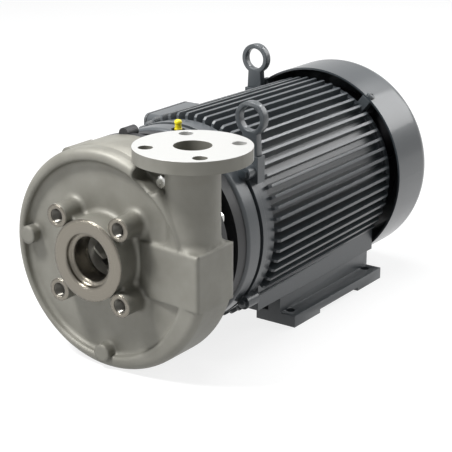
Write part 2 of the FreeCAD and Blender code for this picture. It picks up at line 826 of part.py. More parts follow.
def adapter_bracket():
    """Two flanges joined by a windowed wall."""
    wall_inner = bracket_wall_outer_r - bracket_wall
    front = ring(bracket_front_r, wall_inner, casing_back, bracket_flange_back)
    wall = ring(bracket_wall_outer_r, wall_inner, casing_back, motor_face)
    back = ring(bracket_back_r, pilot_inner_r, motor_flange_front, motor_face)
    cuts = [rod(pilot_r + fit_gap, motor_face - pilot_height, motor_face)]
    sweep = math.radians(window_angle / 2)
    reach = 1.3 * bracket_wall_outer_r
    for angle in around(window_count, 22.5):
        points = [Vector(0, bracket_flange_back, 0),
                  Vector(reach * math.sin(-sweep), bracket_flange_back, reach * math.cos(sweep)),
                  Vector(reach * math.sin(sweep), bracket_flange_back, reach * math.cos(sweep)),
                  Vector(0, bracket_flange_back, 0)]
        wedge = Part.Face(Part.makePolygon(points)).extrude(
            Vector(0, motor_flange_front - bracket_flange_back, 0))
        cuts.append(turned_about_shaft(wedge, angle))
    for x, z in casing_bolt_places():
        cuts.append(rod(casing_bolt_r + thread_gap, casing_back, bracket_flange_back, x, z))
    for angle in around(motor_bolt_count, motor_bolt_phase):
        x, z = polar(motor_bolt_circle_r, angle)
        cuts.append(rod(motor_bolt_r + thread_gap, motor_flange_front, motor_face, x, z))
    lug = bolt_bars(bracket_lug_circle_r, [bracket_lug_angle], bracket_lug_r,
                    casing_back, casing_back + bracket_lug_length)
    return fused([front, wall, back] + lug).cut(cuts)


def motor_bolts():
    """Bolts through the bracket's rear flange into the motor's end bell."""
    bolts = []
    for angle in around(motor_bolt_count, motor_bolt_phase):
        x, z = polar(motor_bolt_circle_r, angle)
        bolts.append(hex_bolt(x, z, motor_flange_front, motor_face + motor_bolt_reach,
                              motor_bolt_flats, motor_bolt_r, motor_bolt_head))
    return Part.makeCompound(bolts)


# Motor: end bells, finned frame, feet

def bell_profile():
    """Section of the drive end bell: pilot, drum, spigot, web and bearing housing."""
    housing_r = front_bearing["outside"] + fit_gap
    outer_housing_r = housing_r + bearing_housing_wall
    front = front_bearing["start"]
    wall_back = front - bearing_shoulder_depth
    groove_front = frame_front - bell_groove_width
    drum_inner_r = bell_r - bell_wall
    web_back = motor_face + bell_front_wall
    return [(motor_face - pilot_height, pilot_inner_r), (motor_face - pilot_height, pilot_r),
            (motor_face, pilot_r), (motor_face, bell_r), (groove_front, bell_r),
            (groove_front, bell_r - bell_groove_depth), (frame_front, bell_r - bell_groove_depth),
            (frame_front, frame_bore_r - fit_gap), (frame_front + spigot_length, frame_bore_r - fit_gap),
            (frame_front + spigot_length, frame_bore_r - spigot_wall),
            (frame_front - spigot_wall, frame_bore_r - spigot_wall),
            (groove_front - spigot_wall, drum_inner_r), (web_back, drum_inner_r),
            (web_back, pilot_inner_r), (front + bell_web, outer_housing_r),
            (housing_back, outer_housing_r), (housing_back, housing_r),
            (front, housing_r), (front, housing_r - bearing_shoulder),
            (wall_back, housing_r - bearing_shoulder), (wall_back, shaft_seal_r + 3),
            (wall_back - bell_web, shaft_seal_r + 3), (wall_back - bell_web, pilot_inner_r)]


def drive_end_bell():
    """Front end bell: a smooth drum with the pilot and the front bearing's housing."""
    body = turned(bell_profile())
    rim = [edge for edge in edges_at(body, motor_face)
           if abs(edge.BoundBox.ZMax - bell_r) < 1e-3]
    ears = bolt_bars(bell_bolt_circle_r, bell_bolt_angles, bell_ear_r, bell_bolt_seat, frame_front)
    body = fused([body.makeFillet(bell_round, rim)] + ears)
    housing_r = front_bearing["outside"] + fit_gap
    groove = front_bearing["start"] + front_bearing["width"]
    cuts = bolt_bars(motor_bolt_circle_r, around(motor_bolt_count, motor_bolt_phase),
                     motor_bolt_r + thread_gap, motor_face, motor_face + motor_bolt_reach + 1)
    cuts += bolt_bars(bell_bolt_circle_r, bell_bolt_angles, bell_bolt_r + thread_gap,
                      bell_bolt_seat, frame_front)
    cuts.append(ring(housing_r + snap_ring_depth, housing_r - 1, groove, groove + snap_ring_thickness))
    seat = nipple_seat()
    cuts.append(Part.makeCylinder(nipple_r + thread_gap, nipple_thread_length + 2,
                                  Vector(nipple_x, nipple_y, seat - nipple_thread_length - 2), UP))
    cuts.append(Part.makeCylinder(nipple_flats, 12, Vector(nipple_x, nipple_y, seat), UP))
    return body.cut(cuts)


def bell_bolts():
    """Small hexagon bolts that fix the drive end bell to the frame."""
    tip = frame_front + frame_ear_length - 2
    bolts = []
    for angle in bell_bolt_angles:
        x, z = polar(bell_bolt_circle_r, angle)
        bolts.append(hex_bolt(x, z, bell_bolt_seat, tip, bell_bolt_flats, bell_bolt_r, bell_bolt_head))
    return Part.makeCompound(bolts)


def bearing_snap_ring():
    """Ring in a groove of the housing that keeps the front bearing in."""
    housing_r = front_bearing["outside"] + fit_gap
    start = front_bearing["start"] + front_bearing["width"] + fit_gap
    return ring(housing_r + snap_ring_depth - fit_gap, housing_r - 4, start,
                start + snap_ring_thickness - 2 * fit_gap)


def fin_angles():
    """Angles of the cooling fins, left out where the conduit box and the foot rails are."""
    count = round(360.0 / fin_pitch)
    angles = []
    for angle in around(count, fin_pitch / 2):
        from_left = abs((angle - 285.0 + 180.0) % 360.0 - 180.0)
        from_bottom = abs(angle - 180.0)
        on_rail = 34.0 < from_bottom < 50.0
        if from_left > 27.0 and not on_rail:
            angles.append(angle)
    return angles


def fin(angle):
    """One tapered cooling fin, trimmed to its cone and chamfered ends later."""
    root = fin_thickness_root / 2
    tip = fin_thickness_tip / 2
    low = frame_bore_r + 3
    points = [Vector(-root, fin_start, low), Vector(-tip, fin_start, fin_tip_front_r + 1),
              Vector(tip, fin_start, fin_tip_front_r + 1), Vector(root, fin_start, low),
              Vector(-root, fin_start, low)]
    prism = Part.Face(Part.makePolygon(points)).extrude(Vector(0, fin_end - fin_start, 0))
    return turned_about_shaft(prism, angle)


def foot_rail(side):
    """Long pad under the frame that one foot is welded to."""
    low, high = sorted([side * rail_inner_x, side * rail_outer_x])
    return block(low, high, fin_start, fin_end, rail_bottom, rail_bottom + rail_height)


def eye_pad(x, y, base_z):
    """Lug on the frame that a lifting eye stands on."""
    half_x = eye_neck_width / 2 + eye_pad_margin
    half_y = eye_plate_thickness / 2 + eye_pad_margin
    return block(x - half_x, x + half_x, y - half_y, y + half_y, base_z - eye_pad_height, base_z)


def motor_frame():
    """Cast frame: bored tube, fins, collars, rails, lifting lugs and the conduit pad."""
    tube = ring(frame_r, frame_bore_r, frame_front, frame_back)
    envelope = turned([(fin_start, 0), (fin_start, fin_tip_front_r - 3), (fin_start + 3, fin_tip_front_r),
                       (fin_end - fin_chamfer, fin_tip_back_r), (fin_end, frame_r), (fin_end, 0)])
    fins = Part.makeCompound([fin(angle) for angle in fin_angles()]).common(envelope)
    front_collar = ring(frame_collar_r, frame_bore_r, frame_front, frame_front + frame_collar_length)
    front_band = ring(frame_collar_r - band_step, frame_bore_r, frame_front, fin_start)
    middle_y = conduit_y + conduit_length / 2
    middle_z = conduit_bottom + conduit_height / 2
    pad = Part.makeCylinder(conduit_pad_r, frame_bore_r / 2,
                            Vector(conduit_inner_x, middle_y, middle_z), Vector(1, 0, 0))
    pieces = [tube, front_collar, front_band, pad, foot_rail(1), foot_rail(-1)]
    pieces.append(eye_pad(front_eye_x, front_eye_y, front_eye_base_z))
    pieces.append(eye_pad(rear_eye_x, rear_eye_y, rear_eye_base_z))
    pieces.extend(fins.Solids)
    pieces.extend(bolt_bars(bell_bolt_circle_r, bell_bolt_angles, bell_ear_r,
                            frame_front, frame_front + frame_ear_length))
    cable_hole = Part.makeCylinder(cable_hole_r, -conduit_inner_x,
                                   Vector(conduit_inner_x, middle_y, middle_z), Vector(1, 0, 0))
    taps = bolt_bars(bell_bolt_circle_r, bell_bolt_angles, bell_bolt_r + thread_gap,
                     frame_front, frame_front + frame_ear_length - 1)
    return fused(pieces).cut([rod(frame_bore_r, frame_front, frame_back), cable_hole] + taps)


def foot(side):
    """Cast foot: upright web, plate with two floor pads and two bolt holes."""
    plate_low, plate_high = sorted([side * foot_inner_x, side * foot_outer_x])
    web_low, web_high = sorted([side * (rail_inner_x + foot_web_inset),
                                side * (rail_outer_x - foot_web_inset)])
    back = foot_front + foot_length
    pieces = [block(plate_low, plate_high, foot_front, back, foot_plate_bottom, foot_plate_top),
              block(web_low, web_high, foot_front, back, foot_plate_bottom, rail_bottom)]
    for start in (foot_front, back - foot_pad_length):
        pieces.append(block(plate_low, plate_high, start, start + foot_pad_length,
                            foot_bottom, foot_plate_bottom))
    body = fused(pieces)
    holes = []
    for offset in (-foot_spacing_y / 2, foot_spacing_y / 2):
        centre = Vector(side * foot_spacing_x / 2, foot_middle + offset, foot_bottom)
        holes.append(Part.makeCylinder(foot_hole_r, foot_plate_top - foot_bottom, centre, UP))
    return body.cut(holes)


def lifting_eye(x, y, base_z):
    """Flat eye on a tapered neck that stands on a lug of the frame."""
    start = y - eye_plate_thickness / 2
    centre_z = eye_ring_centre_z
    disc = rod(eye_plate_outer_r, start, start + eye_plate_thickness, x, centre_z)
    half = eye_neck_width / 2
    points = [Vector(x - half, start, base_z), Vector(x - half * 0.8, start, centre_z),
              Vector(x + half * 0.8, start, centre_z), Vector(x + half, start, base_z),
              Vector(x - half, start, base_z)]
    neck = Part.Face(Part.makePolygon(points)).extrude(Vector(0, eye_plate_thickness, 0))
    hole = rod(eye_plate_hole_r, start, start + eye_plate_thickness, x, centre_z)
    return fused([disc, neck]).cut(hole)


def cover_lug(angle):
    """Lug of the rear end bell that takes one fan cover screw."""
    half = cover_lug_width / 2
    lug = block(-half, half, frame_back, cover_screw_y + half, frame_bore_r, cover_r - cover_sheet)
    limit = rod(cover_r - cover_sheet - fit_gap, frame_back, cover_back)
    hole = Part.makeCylinder(cover_screw_r + thread_gap, 20, Vector(0, cover_screw_y, cover_r - 20), UP)
    return turned_about_shaft(lug.common(limit).cut(hole), angle)


def rear_end_bell():
    """Rear end bell with the rear bearing's housing and four cover lugs."""
    housing_r = rear_bearing["outside"] + fit_gap
    start = rear_bearing["start"]
    back = rear_bearing_end + 3
    body = turned([(start - spigot_length, frame_bore_r - spigot_wall),
                   (start - spigot_length, frame_bore_r - fit_gap),
                   (frame_back, frame_bore_r - fit_gap), (frame_back, frame_r + 4),
                   (frame_back + 8, frame_r + 4), (frame_back + 8, frame_bore_r - 20),
                   (back + 3, housing_r + bearing_housing_wall), (back + 3, rear_bearing["bore"] + 2),
                   (back, rear_bearing["bore"] + 2), (back, housing_r), (start, housing_r),
                   (start, housing_r + bearing_housing_wall),
                   (frame_back, housing_r + bearing_housing_wall + 4),
                   (frame_back, frame_bore_r - spigot_wall)])
    return fused([body] + [cover_lug(angle) for angle in cover_screw_angles])


def preload_spring():
    """Wave washer behind the rear bearing."""
    outer = rear_bearing["outside"] - 1
    return ring(outer, outer - 5, rear_bearing_end + fit_gap, rear_bearing_end + 3 - fit_gap)


# Bearings

def ball_radius(bearing):
    return ball_share * (bearing["outside"] - bearing["bore"])


def pitch_radius(bearing):
    return (bearing["outside"] + bearing["bore"]) / 2


def race_groove(bearing):
    middle = bearing["start"] + bearing["width"] / 2
    return Part.makeTorus(pitch_radius(bearing), ball_radius(bearing) + fit_gap, Vector(0, middle, 0), ALONG)


def bearing_outer(bearing):
    inner = pitch_radius(bearing) + 0.6 * ball_radius(bearing)
    end = bearing["start"] + bearing["width"]
    return ring(bearing["outside"], inner, bearing["start"], end).cut(race_groove(bearing))


def bearing_inner(bearing):
    outer = pitch_radius(bearing) - 0.6 * ball_radius(bearing)
    end = bearing["start"] + bearing["width"]
    return ring(outer, bearing["bore"] + fit_gap, bearing["start"], end).cut(race_groove(bearing))


def bearing_balls(bearing, radius):
    middle = bearing["start"] + bearing["width"] / 2
    balls = []
    for angle in around(bearing_ball_count, 0):
        x, z = polar(pitch_radius(bearing), angle)
        balls.append(Part.makeSphere(radius, Vector(x, middle, z)))
    return balls


def bearing_cage(bearing):
    """Ring with one square pocket for each ball."""
    middle = bearing["start"] + bearing["width"] / 2
    reach = ball_radius(bearing) + 2 * fit_gap
    half = reach + cage_rim
    pitch = pitch_radius(bearing)
    half_wall = 0.25 * ball_radius(bearing)
    body = ring(pitch + half_wall, pitch - half_wall, middle - half, middle + half)
    pocket = block(-reach, reach, middle - reach, middle + reach, pitch - reach, pitch + reach)
    return body.cut([turned_about_shaft(pocket, angle) for angle in around(bearing_ball_count, 0)])


# Rotor and stator

def motor_shaft():
    """Stepped shaft from the impeller to the fan."""
    front = front_bearing["start"]
    front_end = front + front_bearing["width"]
    rear = rear_bearing["start"]
    tip = fan_start + fan_width + 6
    body = turned([(hub_front + 2, 0), (hub_front + 2, shaft_stub_r - 1), (hub_front + 3, shaft_stub_r),
                   (sleeve_back, shaft_stub_r), (sleeve_back, shaft_seal_r), (front, shaft_seal_r),
                   (front, front_bearing["bore"]), (front_end, front_bearing["bore"]),
                   (front_end, shaft_core_r), (core_end + end_ring_length + 6, shaft_core_r),
                   (core_end + end_ring_length + 6, shaft_rear_r), (rear, shaft_rear_r),
                   (rear, rear_bearing["bore"]), (rear_bearing_end, rear_bearing["bore"]),
                   (rear_bearing_end, fan_seat_r), (tip - 1, fan_seat_r), (tip, fan_seat_r - 1), (tip, 0)])
    tapped = rod(5 + thread_gap, hub_front, hub_front + 23)
    groove = ring(fan_seat_r + 1, fan_seat_r - 1.5, fan_start + fan_width, fan_start + fan_width + 2)
    return body.cut([tapped, groove, key_block(fit_gap)])


def impeller_key():
    return key_block(0.0)


def rotor_core():
    return ring(rotor_core_r, shaft_core_r + fit_gap, core_start, core_end)


def rotor_end_rings():
    """Cast end rings of the rotor cage with short stirring blades."""
    rings = []
    for start, blade_start in ((core_start - end_ring_length, core_start - 2 * end_ring_length),
                               (core_end, core_end + end_ring_length)):
        pieces = [ring(rotor_core_r - 2, rotor_core_r - 20, start, start + end_ring_length)]
        for angle in around(8, 0):
            blade = block(-2, 2, blade_start, blade_start + end_ring_length,
                          rotor_core_r - 18, rotor_core_r - 5)
            pieces.append(turned_about_shaft(blade, angle))
        rings.append(fused(pieces))
    return Part.makeCompound(rings)


def stator_core():
    return ring(frame_bore_r - fit_gap, stator_bore_r, core_start, core_end)


def stator_windings():
    """Rounded bundles of the coil ends, one at each end of the core."""
    inner = stator_bore_r + 5
    bundles = []
    for near, far in ((core_start, core_start - winding_overhang), (core_end, core_end + winding_overhang)):
        step = (far - near) / winding_overhang * 4
        bundles.append(turned(sorted_profile(near, far, step, inner)))
    return Part.makeCompound(bundles)


def sorted_profile(near, far, step, inner):
    """Outline of one winding bundle, flat on the core and rounded at its free end."""
    return [(near, inner), (near, winding_r), (far - step, winding_r), (far, winding_r - 5),
            (far, inner + 5), (far - step, inner)]


def cooling_fan():
    """Radial fan on the rear end of the shaft."""
    end = fan_start + fan_width
    pieces = [ring(fan_hub_r, fan_seat_r + fit_gap, fan_start, end),
              ring(fan_r, fan_hub_r - 2, end - fan_disc_thickness, end)]
    for angle in around(fan_blade_count, 0):
        blade = block(-fan_blade_thickness / 2, fan_blade_thickness / 2, fan_start, end - 1,
                      fan_hub_r - 2, fan_r - 1)
        pieces.append(turned_about_shaft(blade, angle))
    return fused(pieces)


def fan_clip():
    start = fan_start + fan_width + fit_gap
    return ring(fan_seat_r + 4, fan_seat_r - 1.5 + fit_gap, start, start + 2 - 2 * fit_gap)


# Fan cover and its screws

def cover_profile(inset):
    """Drawn cover outline from its front rim round the rear corner to the axis."""
    outer = cover_r - inset
    back = cover_back - inset
    corner = cover_corner - inset
    slant = corner * math.sqrt(0.5)
    centre_y = back - corner
    centre_r = outer - corner
    front = Vector(outer, cover_front, 0)
    start = Vector(outer, centre_y, 0)
    middle = Vector(centre_r + slant, centre_y + slant, 0)
    end = Vector(centre_r, back, 0)
    axis_back = Vector(0, back, 0)
    axis_front = Vector(0, cover_front, 0)
    edges = [Part.makeLine(front, start), Part.Arc(start, middle, end).toShape(),
             Part.makeLine(end, axis_back), Part.makeLine(axis_back, axis_front),
             Part.makeLine(axis_front, front)]
    return Part.Face(Part.Wire(edges)).revolve(Vector(0, 0, 0), ALONG, 360)


def grille_slot(inner, angle):
    """Curved slot through the rear wall of the fan cover."""
    outer = inner + grille_slot_width
    depth = 2 * cover_sheet
    start = cover_back - 1.5 * cover_sheet
    sector = Part.makeCylinder(outer, depth, Vector(0, start, 0), ALONG, grille_slot_angle)
    return turned_about_shaft(sector.cut(rod(inner, start, start + depth)), angle)


def fan_cover():
    """Sheet cover with a slotted rear wall."""
    shell = cover_profile(0).cut(cover_profile(cover_sheet))
    cuts = []
    for row in range(grille_rings):
        for angle in around(grille_slots, row * 15.0):
            cuts.append(grille_slot(grille_inner_r + row * grille_pitch, angle))
    for angle in cover_screw_angles:
        hole = Part.makeCylinder(cover_screw_r + thread_gap, 20, Vector(0, cover_screw_y, cover_r - 15), UP)
        cuts.append(turned_about_shaft(hole, angle))
    return shell.cut(cuts)


def fan_cover_screws():
    screws = []
    for angle in cover_screw_angles:
        head = Part.makeCylinder(cover_screw_head_r, cover_screw_head, Vector(0, cover_screw_y, cover_r), UP)
        shank = Part.makeCylinder(cover_screw_r, 18, Vector(0, cover_screw_y, cover_r - 18), UP)
        screws.append(turned_about_shaft(fused([head, shank]), angle))
    return Part.makeCompound(screws)


# Conduit box

def conduit_blank(x0, x1, inset):
    """Rounded block of the conduit box outline."""
    body = block(x0, x1, conduit_y + inset, conduit_y + conduit_length - inset,
                 conduit_bottom + inset, conduit_bottom + conduit_height - inset)
    edges = [edge for edge in body.Edges
             if abs(edge.Vertexes[0].Point.x - edge.Vertexes[-1].Point.x) > 1e-6]
    return body.makeFillet(conduit_round - inset, edges)


def conduit_screw_places():
    """Y and Z of the four cover screws."""
    y_low = conduit_y + conduit_screw_inset
    y_high = conduit_y + conduit_length - conduit_screw_inset
    z_low = conduit_bottom + conduit_screw_inset
    z_high = conduit_bottom + conduit_height - conduit_screw_inset
    return [(y, z) for y in (y_low, y_high) for z in (z_low, z_high)]


def conduit_pins(radius, x0, x1):
    """Round bars across the conduit box at its screw places."""
    return [Part.makeCylinder(radius, x1 - x0, Vector(x0, y, z), Vector(1, 0, 0))
            for y, z in conduit_screw_places()]


def conduit_box():
    """Cast box with a cable entry in its floor, open towards its cover."""
    body = conduit_blank(conduit_outer_x, conduit_inner_x, 0)
    hollow = conduit_blank(conduit_outer_x, conduit_inner_x - conduit_wall, conduit_wall)
    posts = fused(conduit_pins(conduit_screw_inset - 2, conduit_outer_x, conduit_inner_x))
    body = fused([body.cut(hollow), posts.common(conduit_blank(conduit_outer_x, conduit_inner_x, 0))])
    middle_y = conduit_y + conduit_length / 2
    middle_x = (conduit_outer_x + conduit_inner_x) / 2
    middle_z = conduit_bottom + conduit_height / 2
    entry = Part.makeCylinder(conduit_entry_r, 2 * conduit_wall,
                              Vector(middle_x, middle_y, conduit_bottom), UP)
    behind_wall = conduit_inner_x - conduit_wall - 1
    passage = Part.makeCylinder(cable_hole_r, 2 * conduit_wall,
                                Vector(behind_wall, middle_y, middle_z), Vector(1, 0, 0))
    taps = conduit_pins(conduit_screw_r + thread_gap, conduit_outer_x, conduit_outer_x + 14)
    return body.cut([entry, passage] + taps)


def conduit_cover_gasket():
    start = conduit_outer_x - conduit_gasket
    body = conduit_blank(start, conduit_outer_x, 0)
    hollow = conduit_blank(start, conduit_outer_x, conduit_wall)
    posts = fused(conduit_pins(conduit_screw_inset - 2, start, conduit_outer_x))
    body = fused([body.cut(hollow), posts.common(conduit_blank(start, conduit_outer_x, 0))])
    return body.cut(conduit_pins(conduit_screw_r + thread_gap, start, conduit_outer_x))


def conduit_box_cover():
    """Cover plate with a raised middle."""
    end = conduit_outer_x - conduit_gasket
    start = end - conduit_cover_thickness
    plate = conduit_blank(end - conduit_cover_thickness / 2, end, 0)
    raised = conduit_blank(start, end, 3 * conduit_wall / 2)
    holes = conduit_pins(conduit_screw_r + thread_gap, start, end)
    reliefs = conduit_pins(2 * conduit_screw_r + 0.5, start, end - conduit_cover_thickness / 2)
    return fused([plate, raised]).cut(holes + reliefs)


def conduit_cover_screws():
    end = conduit_outer_x - conduit_gasket
    seat = end - conduit_cover_thickness / 2
    screws = []
    shanks = conduit_pins(conduit_screw_r, seat, conduit_outer_x + 12)
    heads = conduit_pins(2 * conduit_screw_r - 0.2, seat - 3, seat)
    for shank, head in zip(shanks, heads):
        screws.append(fused([shank, head]))
    return Part.makeCompound(screws)


def terminal_block():
    """Insulating block with six studs, standing on the back wall of the conduit box."""
    wall = conduit_inner_x - conduit_wall
    middle_y = conduit_y + conduit_length / 2
    top = conduit_bottom + conduit_height - conduit_screw_inset - 8
    base = block(wall - 9, wall, middle_y - 28, middle_y + 28, top - 12, top)
    studs = []
    for index in range(6):
        y = middle_y - 25 + 10 * index
        studs.append(Part.makeCylinder(2, 9, Vector(wall - 18, y, top - 6), Vector(1, 0, 0)))
    return fused([base] + studs)


# Grease nipple and cap

def nipple_seat():
    """Height of the spot face on the bell's drum under the nipple."""
    return math.sqrt(bell_r ** 2 - nipple_x ** 2) - nipple_spot_depth


def grease_nipple():
    seat = nipple_seat()
    corner = nipple_flats / math.sqrt(3)
    points = [Vector(nipple_x + corner * math.cos(math.radians(60 * index)),
                     nipple_y + corner * math.sin(math.radians(60 * index)), seat) for index in range(7)]
    hexagonal = Part.Face(Part.makePolygon(points)).extrude(Vector(0, 0, nipple_hex_height))
    stem = Part.makeCylinder(nipple_r, nipple_length + nipple_thread_length,
                             Vector(nipple_x, nipple_y, seat - nipple_thread_length), UP)
    return fused([hexagonal, stem])


def nipple_cap():
    """Soft push-on dust cap with a tapered top."""
    start = nipple_seat() + nipple_hex_height + fit_gap
    skirt = Part.makeCylinder(cap_r, cap_height * 0.6, Vector(nipple_x, nipple_y, start), UP)
    top = Part.makeCone(cap_r, cap_r * 0.6, cap_height * 0.4,
                        Vector(nipple_x, nipple_y, start + cap_height * 0.6), UP)
    hollow = Part.makeCylinder(nipple_r + fit_gap, nipple_length - nipple_hex_height + 1,
                               Vector(nipple_x, nipple_y, start), UP)
    return fused([skirt, top]).cut(hollow)


nodes = {
    "volute_casing": volute_casing(),
    "casing_wear_ring": casing_wear_ring(),
    "casing_bolts": casing_bolts(),
    "casing_cover": casing_cover(),
    "casing_gasket": casing_gasket(),
    "seal_seat": seal_seat(),
    "seal_seat_cup": seal_seat_cup(),
    "adapter_bracket": adapter_bracket(),
    "motor_bolts": motor_bolts(),
    "drive_end_bell": drive_end_bell(),
    "bell_bolts": bell_bolts(),
    "bearing_snap_ring": bearing_snap_ring(),
    "front_bearing_outer": bearing_outer(front_bearing),
    "rear_bearing_outer": bearing_outer(rear_bearing),
    "preload_spring": preload_spring(),
    "motor_frame": motor_frame(),
    "stator_core": stator_core(),
    "stator_windings": stator_windings(),
    "right_foot": foot(1),
    "left_foot": foot(-1),
    "front_lifting_eye": lifting_eye(front_eye_x, front_eye_y, front_eye_base_z),
    "rear_lifting_eye": lifting_eye(rear_eye_x, rear_eye_y, rear_eye_base_z),
    "rear_end_bell": rear_end_bell(),
    "fan_cover": fan_cover(),
    "fan_cover_screws": fan_cover_screws(),
    "conduit_box": conduit_box(),
    "conduit_cover_gasket": conduit_cover_gasket(),
    "conduit_box_cover": conduit_box_cover(),
    "conduit_cover_screws": conduit_cover_screws(),
    "terminal_block": terminal_block(),
    "grease_nipple": grease_nipple(),
    "motor_shaft": motor_shaft(),
    "impeller": impeller(),
    "impeller_key": impeller_key(),
    "impeller_washer": impeller_washer(),
    "impeller_bolt": impeller_bolt(),
    "shaft_sleeve": shaft_sleeve(),
    "seal_head": seal_head(),
    "seal_bellows": seal_bellows(),
    "seal_spring": seal_spring(),
    "spring_holder": spring_holder(),
    "slinger": slinger(),
    "front_bearing_inner": bearing_inner(front_bearing),
    "rear_bearing_inner": bearing_inner(rear_bearing),
    "rotor_core": rotor_core(),
    "rotor_end_rings": rotor_end_rings(),
    "cooling_fan": cooling_fan(),
    "fan_clip": fan_clip(),
    "front_bearing_balls": Part.makeCompound(bearing_balls(front_bearing, ball_radius(front_bearing))),
    "front_bearing_cage": bearing_cage(front_bearing),
    "rear_bearing_balls": Part.makeCompound(bearing_balls(rear_bearing, ball_radius(rear_bearing))),
    "rear_bearing_cage": bearing_cage(rear_bearing),
    "nipple_cap": nipple_cap(),
}

os.makedirs("parts", exist_ok=True)
for name, shape in nodes.items():
    shape.exportStep("parts/" + name + ".step")
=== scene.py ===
import math

import bpy
from mathutils import Matrix, Vector


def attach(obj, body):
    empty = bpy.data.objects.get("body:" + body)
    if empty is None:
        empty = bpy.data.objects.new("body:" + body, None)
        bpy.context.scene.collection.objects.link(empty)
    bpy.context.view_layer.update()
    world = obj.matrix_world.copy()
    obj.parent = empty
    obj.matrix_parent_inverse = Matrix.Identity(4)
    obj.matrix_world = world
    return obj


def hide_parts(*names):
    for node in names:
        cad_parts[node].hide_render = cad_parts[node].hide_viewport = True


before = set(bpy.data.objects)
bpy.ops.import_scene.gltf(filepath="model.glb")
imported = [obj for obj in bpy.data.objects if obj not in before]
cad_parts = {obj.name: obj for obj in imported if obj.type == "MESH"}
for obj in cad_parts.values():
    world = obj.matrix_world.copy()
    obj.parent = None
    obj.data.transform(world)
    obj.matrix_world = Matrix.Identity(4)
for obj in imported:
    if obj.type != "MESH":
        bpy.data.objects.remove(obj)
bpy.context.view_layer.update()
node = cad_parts
bpy.ops.object.select_all(action="DESELECT")

# Camera, at the photograph's angle: a long lens a metre and a half from the pump, looking down at it.
# The focal length is in pixels of the photograph.
picture_width, focal_length = 452, 1400
view_forward = Vector((-0.5479, 0.7738, -0.3180)).normalized()
view_right = Vector((0.8161, 0.5779, 0.0)).normalized()
view_up = view_right.cross(view_forward)
bpy.ops.object.camera_add()
camera = bpy.context.object
camera.data.sensor_width = 36.0
camera.data.lens = camera.data.sensor_width * focal_length / picture_width
camera.matrix_world = Matrix.Translation((0.9368, -1.0649, 0.5127)) @ Matrix(
    (view_right, view_up, -view_forward)).transposed().to_4x4()
bpy.context.scene.camera = camera
bpy.context.scene.view_settings.view_transform = "Standard"


# Studio: a white floor that the pump stands on, a pale world, and soft lamps above, in front and behind.
# The white shows to the camera, in metal and through glass alone, so it adds no light to the pump.
def worked(nodes, links, operation, *values):
    """Math node on sockets or numbers."""
    step = nodes.new("ShaderNodeMath")
    step.operation = operation
    for socket, value in zip(step.inputs, values):
        if isinstance(value, bpy.types.NodeSocket):
            links.new(value, socket)
        else:
            socket.default_value = value
    return step.outputs[0]


def background_rays(nodes, links):
    """Mask of the rays that show the background: from the camera, off metal, or through glass."""
    path = nodes.new("ShaderNodeLightPath")
    seen = path.outputs["Is Camera Ray"]
    for ray in ("Is Glossy Ray", "Is Transmission Ray"):
        seen = worked(nodes, links, "MAXIMUM", seen, path.outputs[ray])
    return seen


mm = 0.001
shaft_height = 133.35 * mm
floor_gap = 0.3 * mm
bpy.ops.mesh.primitive_plane_add(size=30, location=(0, 0, -shaft_height - floor_gap))
floor = bpy.context.object
floor.name = "floor"
paper = bpy.data.materials.new("white paper floor")
paper.use_nodes = True
nodes, links = paper.node_tree.nodes, paper.node_tree.links
nodes.clear()
output = nodes.new("ShaderNodeOutputMaterial")
summed = nodes.new("ShaderNodeAddShader")
matte = nodes.new("ShaderNodeBsdfDiffuse")
matte.inputs["Color"].default_value = (0.26, 0.26, 0.26, 1)
glow = nodes.new("ShaderNodeEmission")
links.new(worked(nodes, links, "MULTIPLY", background_rays(nodes, links), 0.82), glow.inputs["Strength"])
links.new(matte.outputs[0], summed.inputs[0])
links.new(glow.outputs[0], summed.inputs[1])
links.new(summed.outputs[0], output.inputs["Surface"])
floor.data.materials.append(paper)

world = bpy.data.worlds.new("pale studio")
bpy.context.scene.world = world
world.use_nodes = True
nodes, links = world.node_tree.nodes, world.node_tree.links
nodes.clear()
output = nodes.new("ShaderNodeOutputWorld")
shown = nodes.new("ShaderNodeMixShader")
ambient = nodes.new("ShaderNodeBackground")
ambient.inputs["Color"].default_value = (0.90, 0.95, 1.0, 1)
ambient.inputs["Strength"].default_value = 0.12
backdrop = nodes.new("ShaderNodeBackground")
backdrop.inputs["Strength"].default_value = 1.0
links.new(background_rays(nodes, links), shown.inputs["Fac"])
links.new(ambient.outputs[0], shown.inputs[1])
links.new(backdrop.outputs[0], shown.inputs[2])
links.new(shown.outputs[0], output.inputs["Surface"])


def softbox(name, place, target, size, power):
    """Rectangular lamp aimed at a point."""
    bpy.ops.object.light_add(type="AREA", location=place)
    lamp = bpy.context.object
    lamp.name = name
    lamp.data.shape = "RECTANGLE"
    lamp.data.size, lamp.data.size_y = size
    lamp.data.energy = power
    lamp.rotation_euler = (Vector(target) - Vector(place)).to_track_quat("-Z", "Y").to_euler()


softbox("overhead lamp", (-0.20, 0.50, 2.1), target=(0, 0.2, 0), size=(1.4, 1.4), power=30)
softbox("front left lamp", (-0.75, -1.0, 1.9), target=(0, 0, 0), size=(0.5, 0.5), power=58)
softbox("small back lamp", (0.32, 2.2, 1.75), target=(0, 0.4, 0.1), size=(0.4, 0.4), power=8)
softbox("front strip", (-1.02, -1.44, 0.40), target=(0, 0, 0), size=(0.08, 0.9), power=3)
softbox("back panel", (1.1, 2.3, 1.25), target=(0, 0.25, 0), size=(1.6, 1.3), power=21)


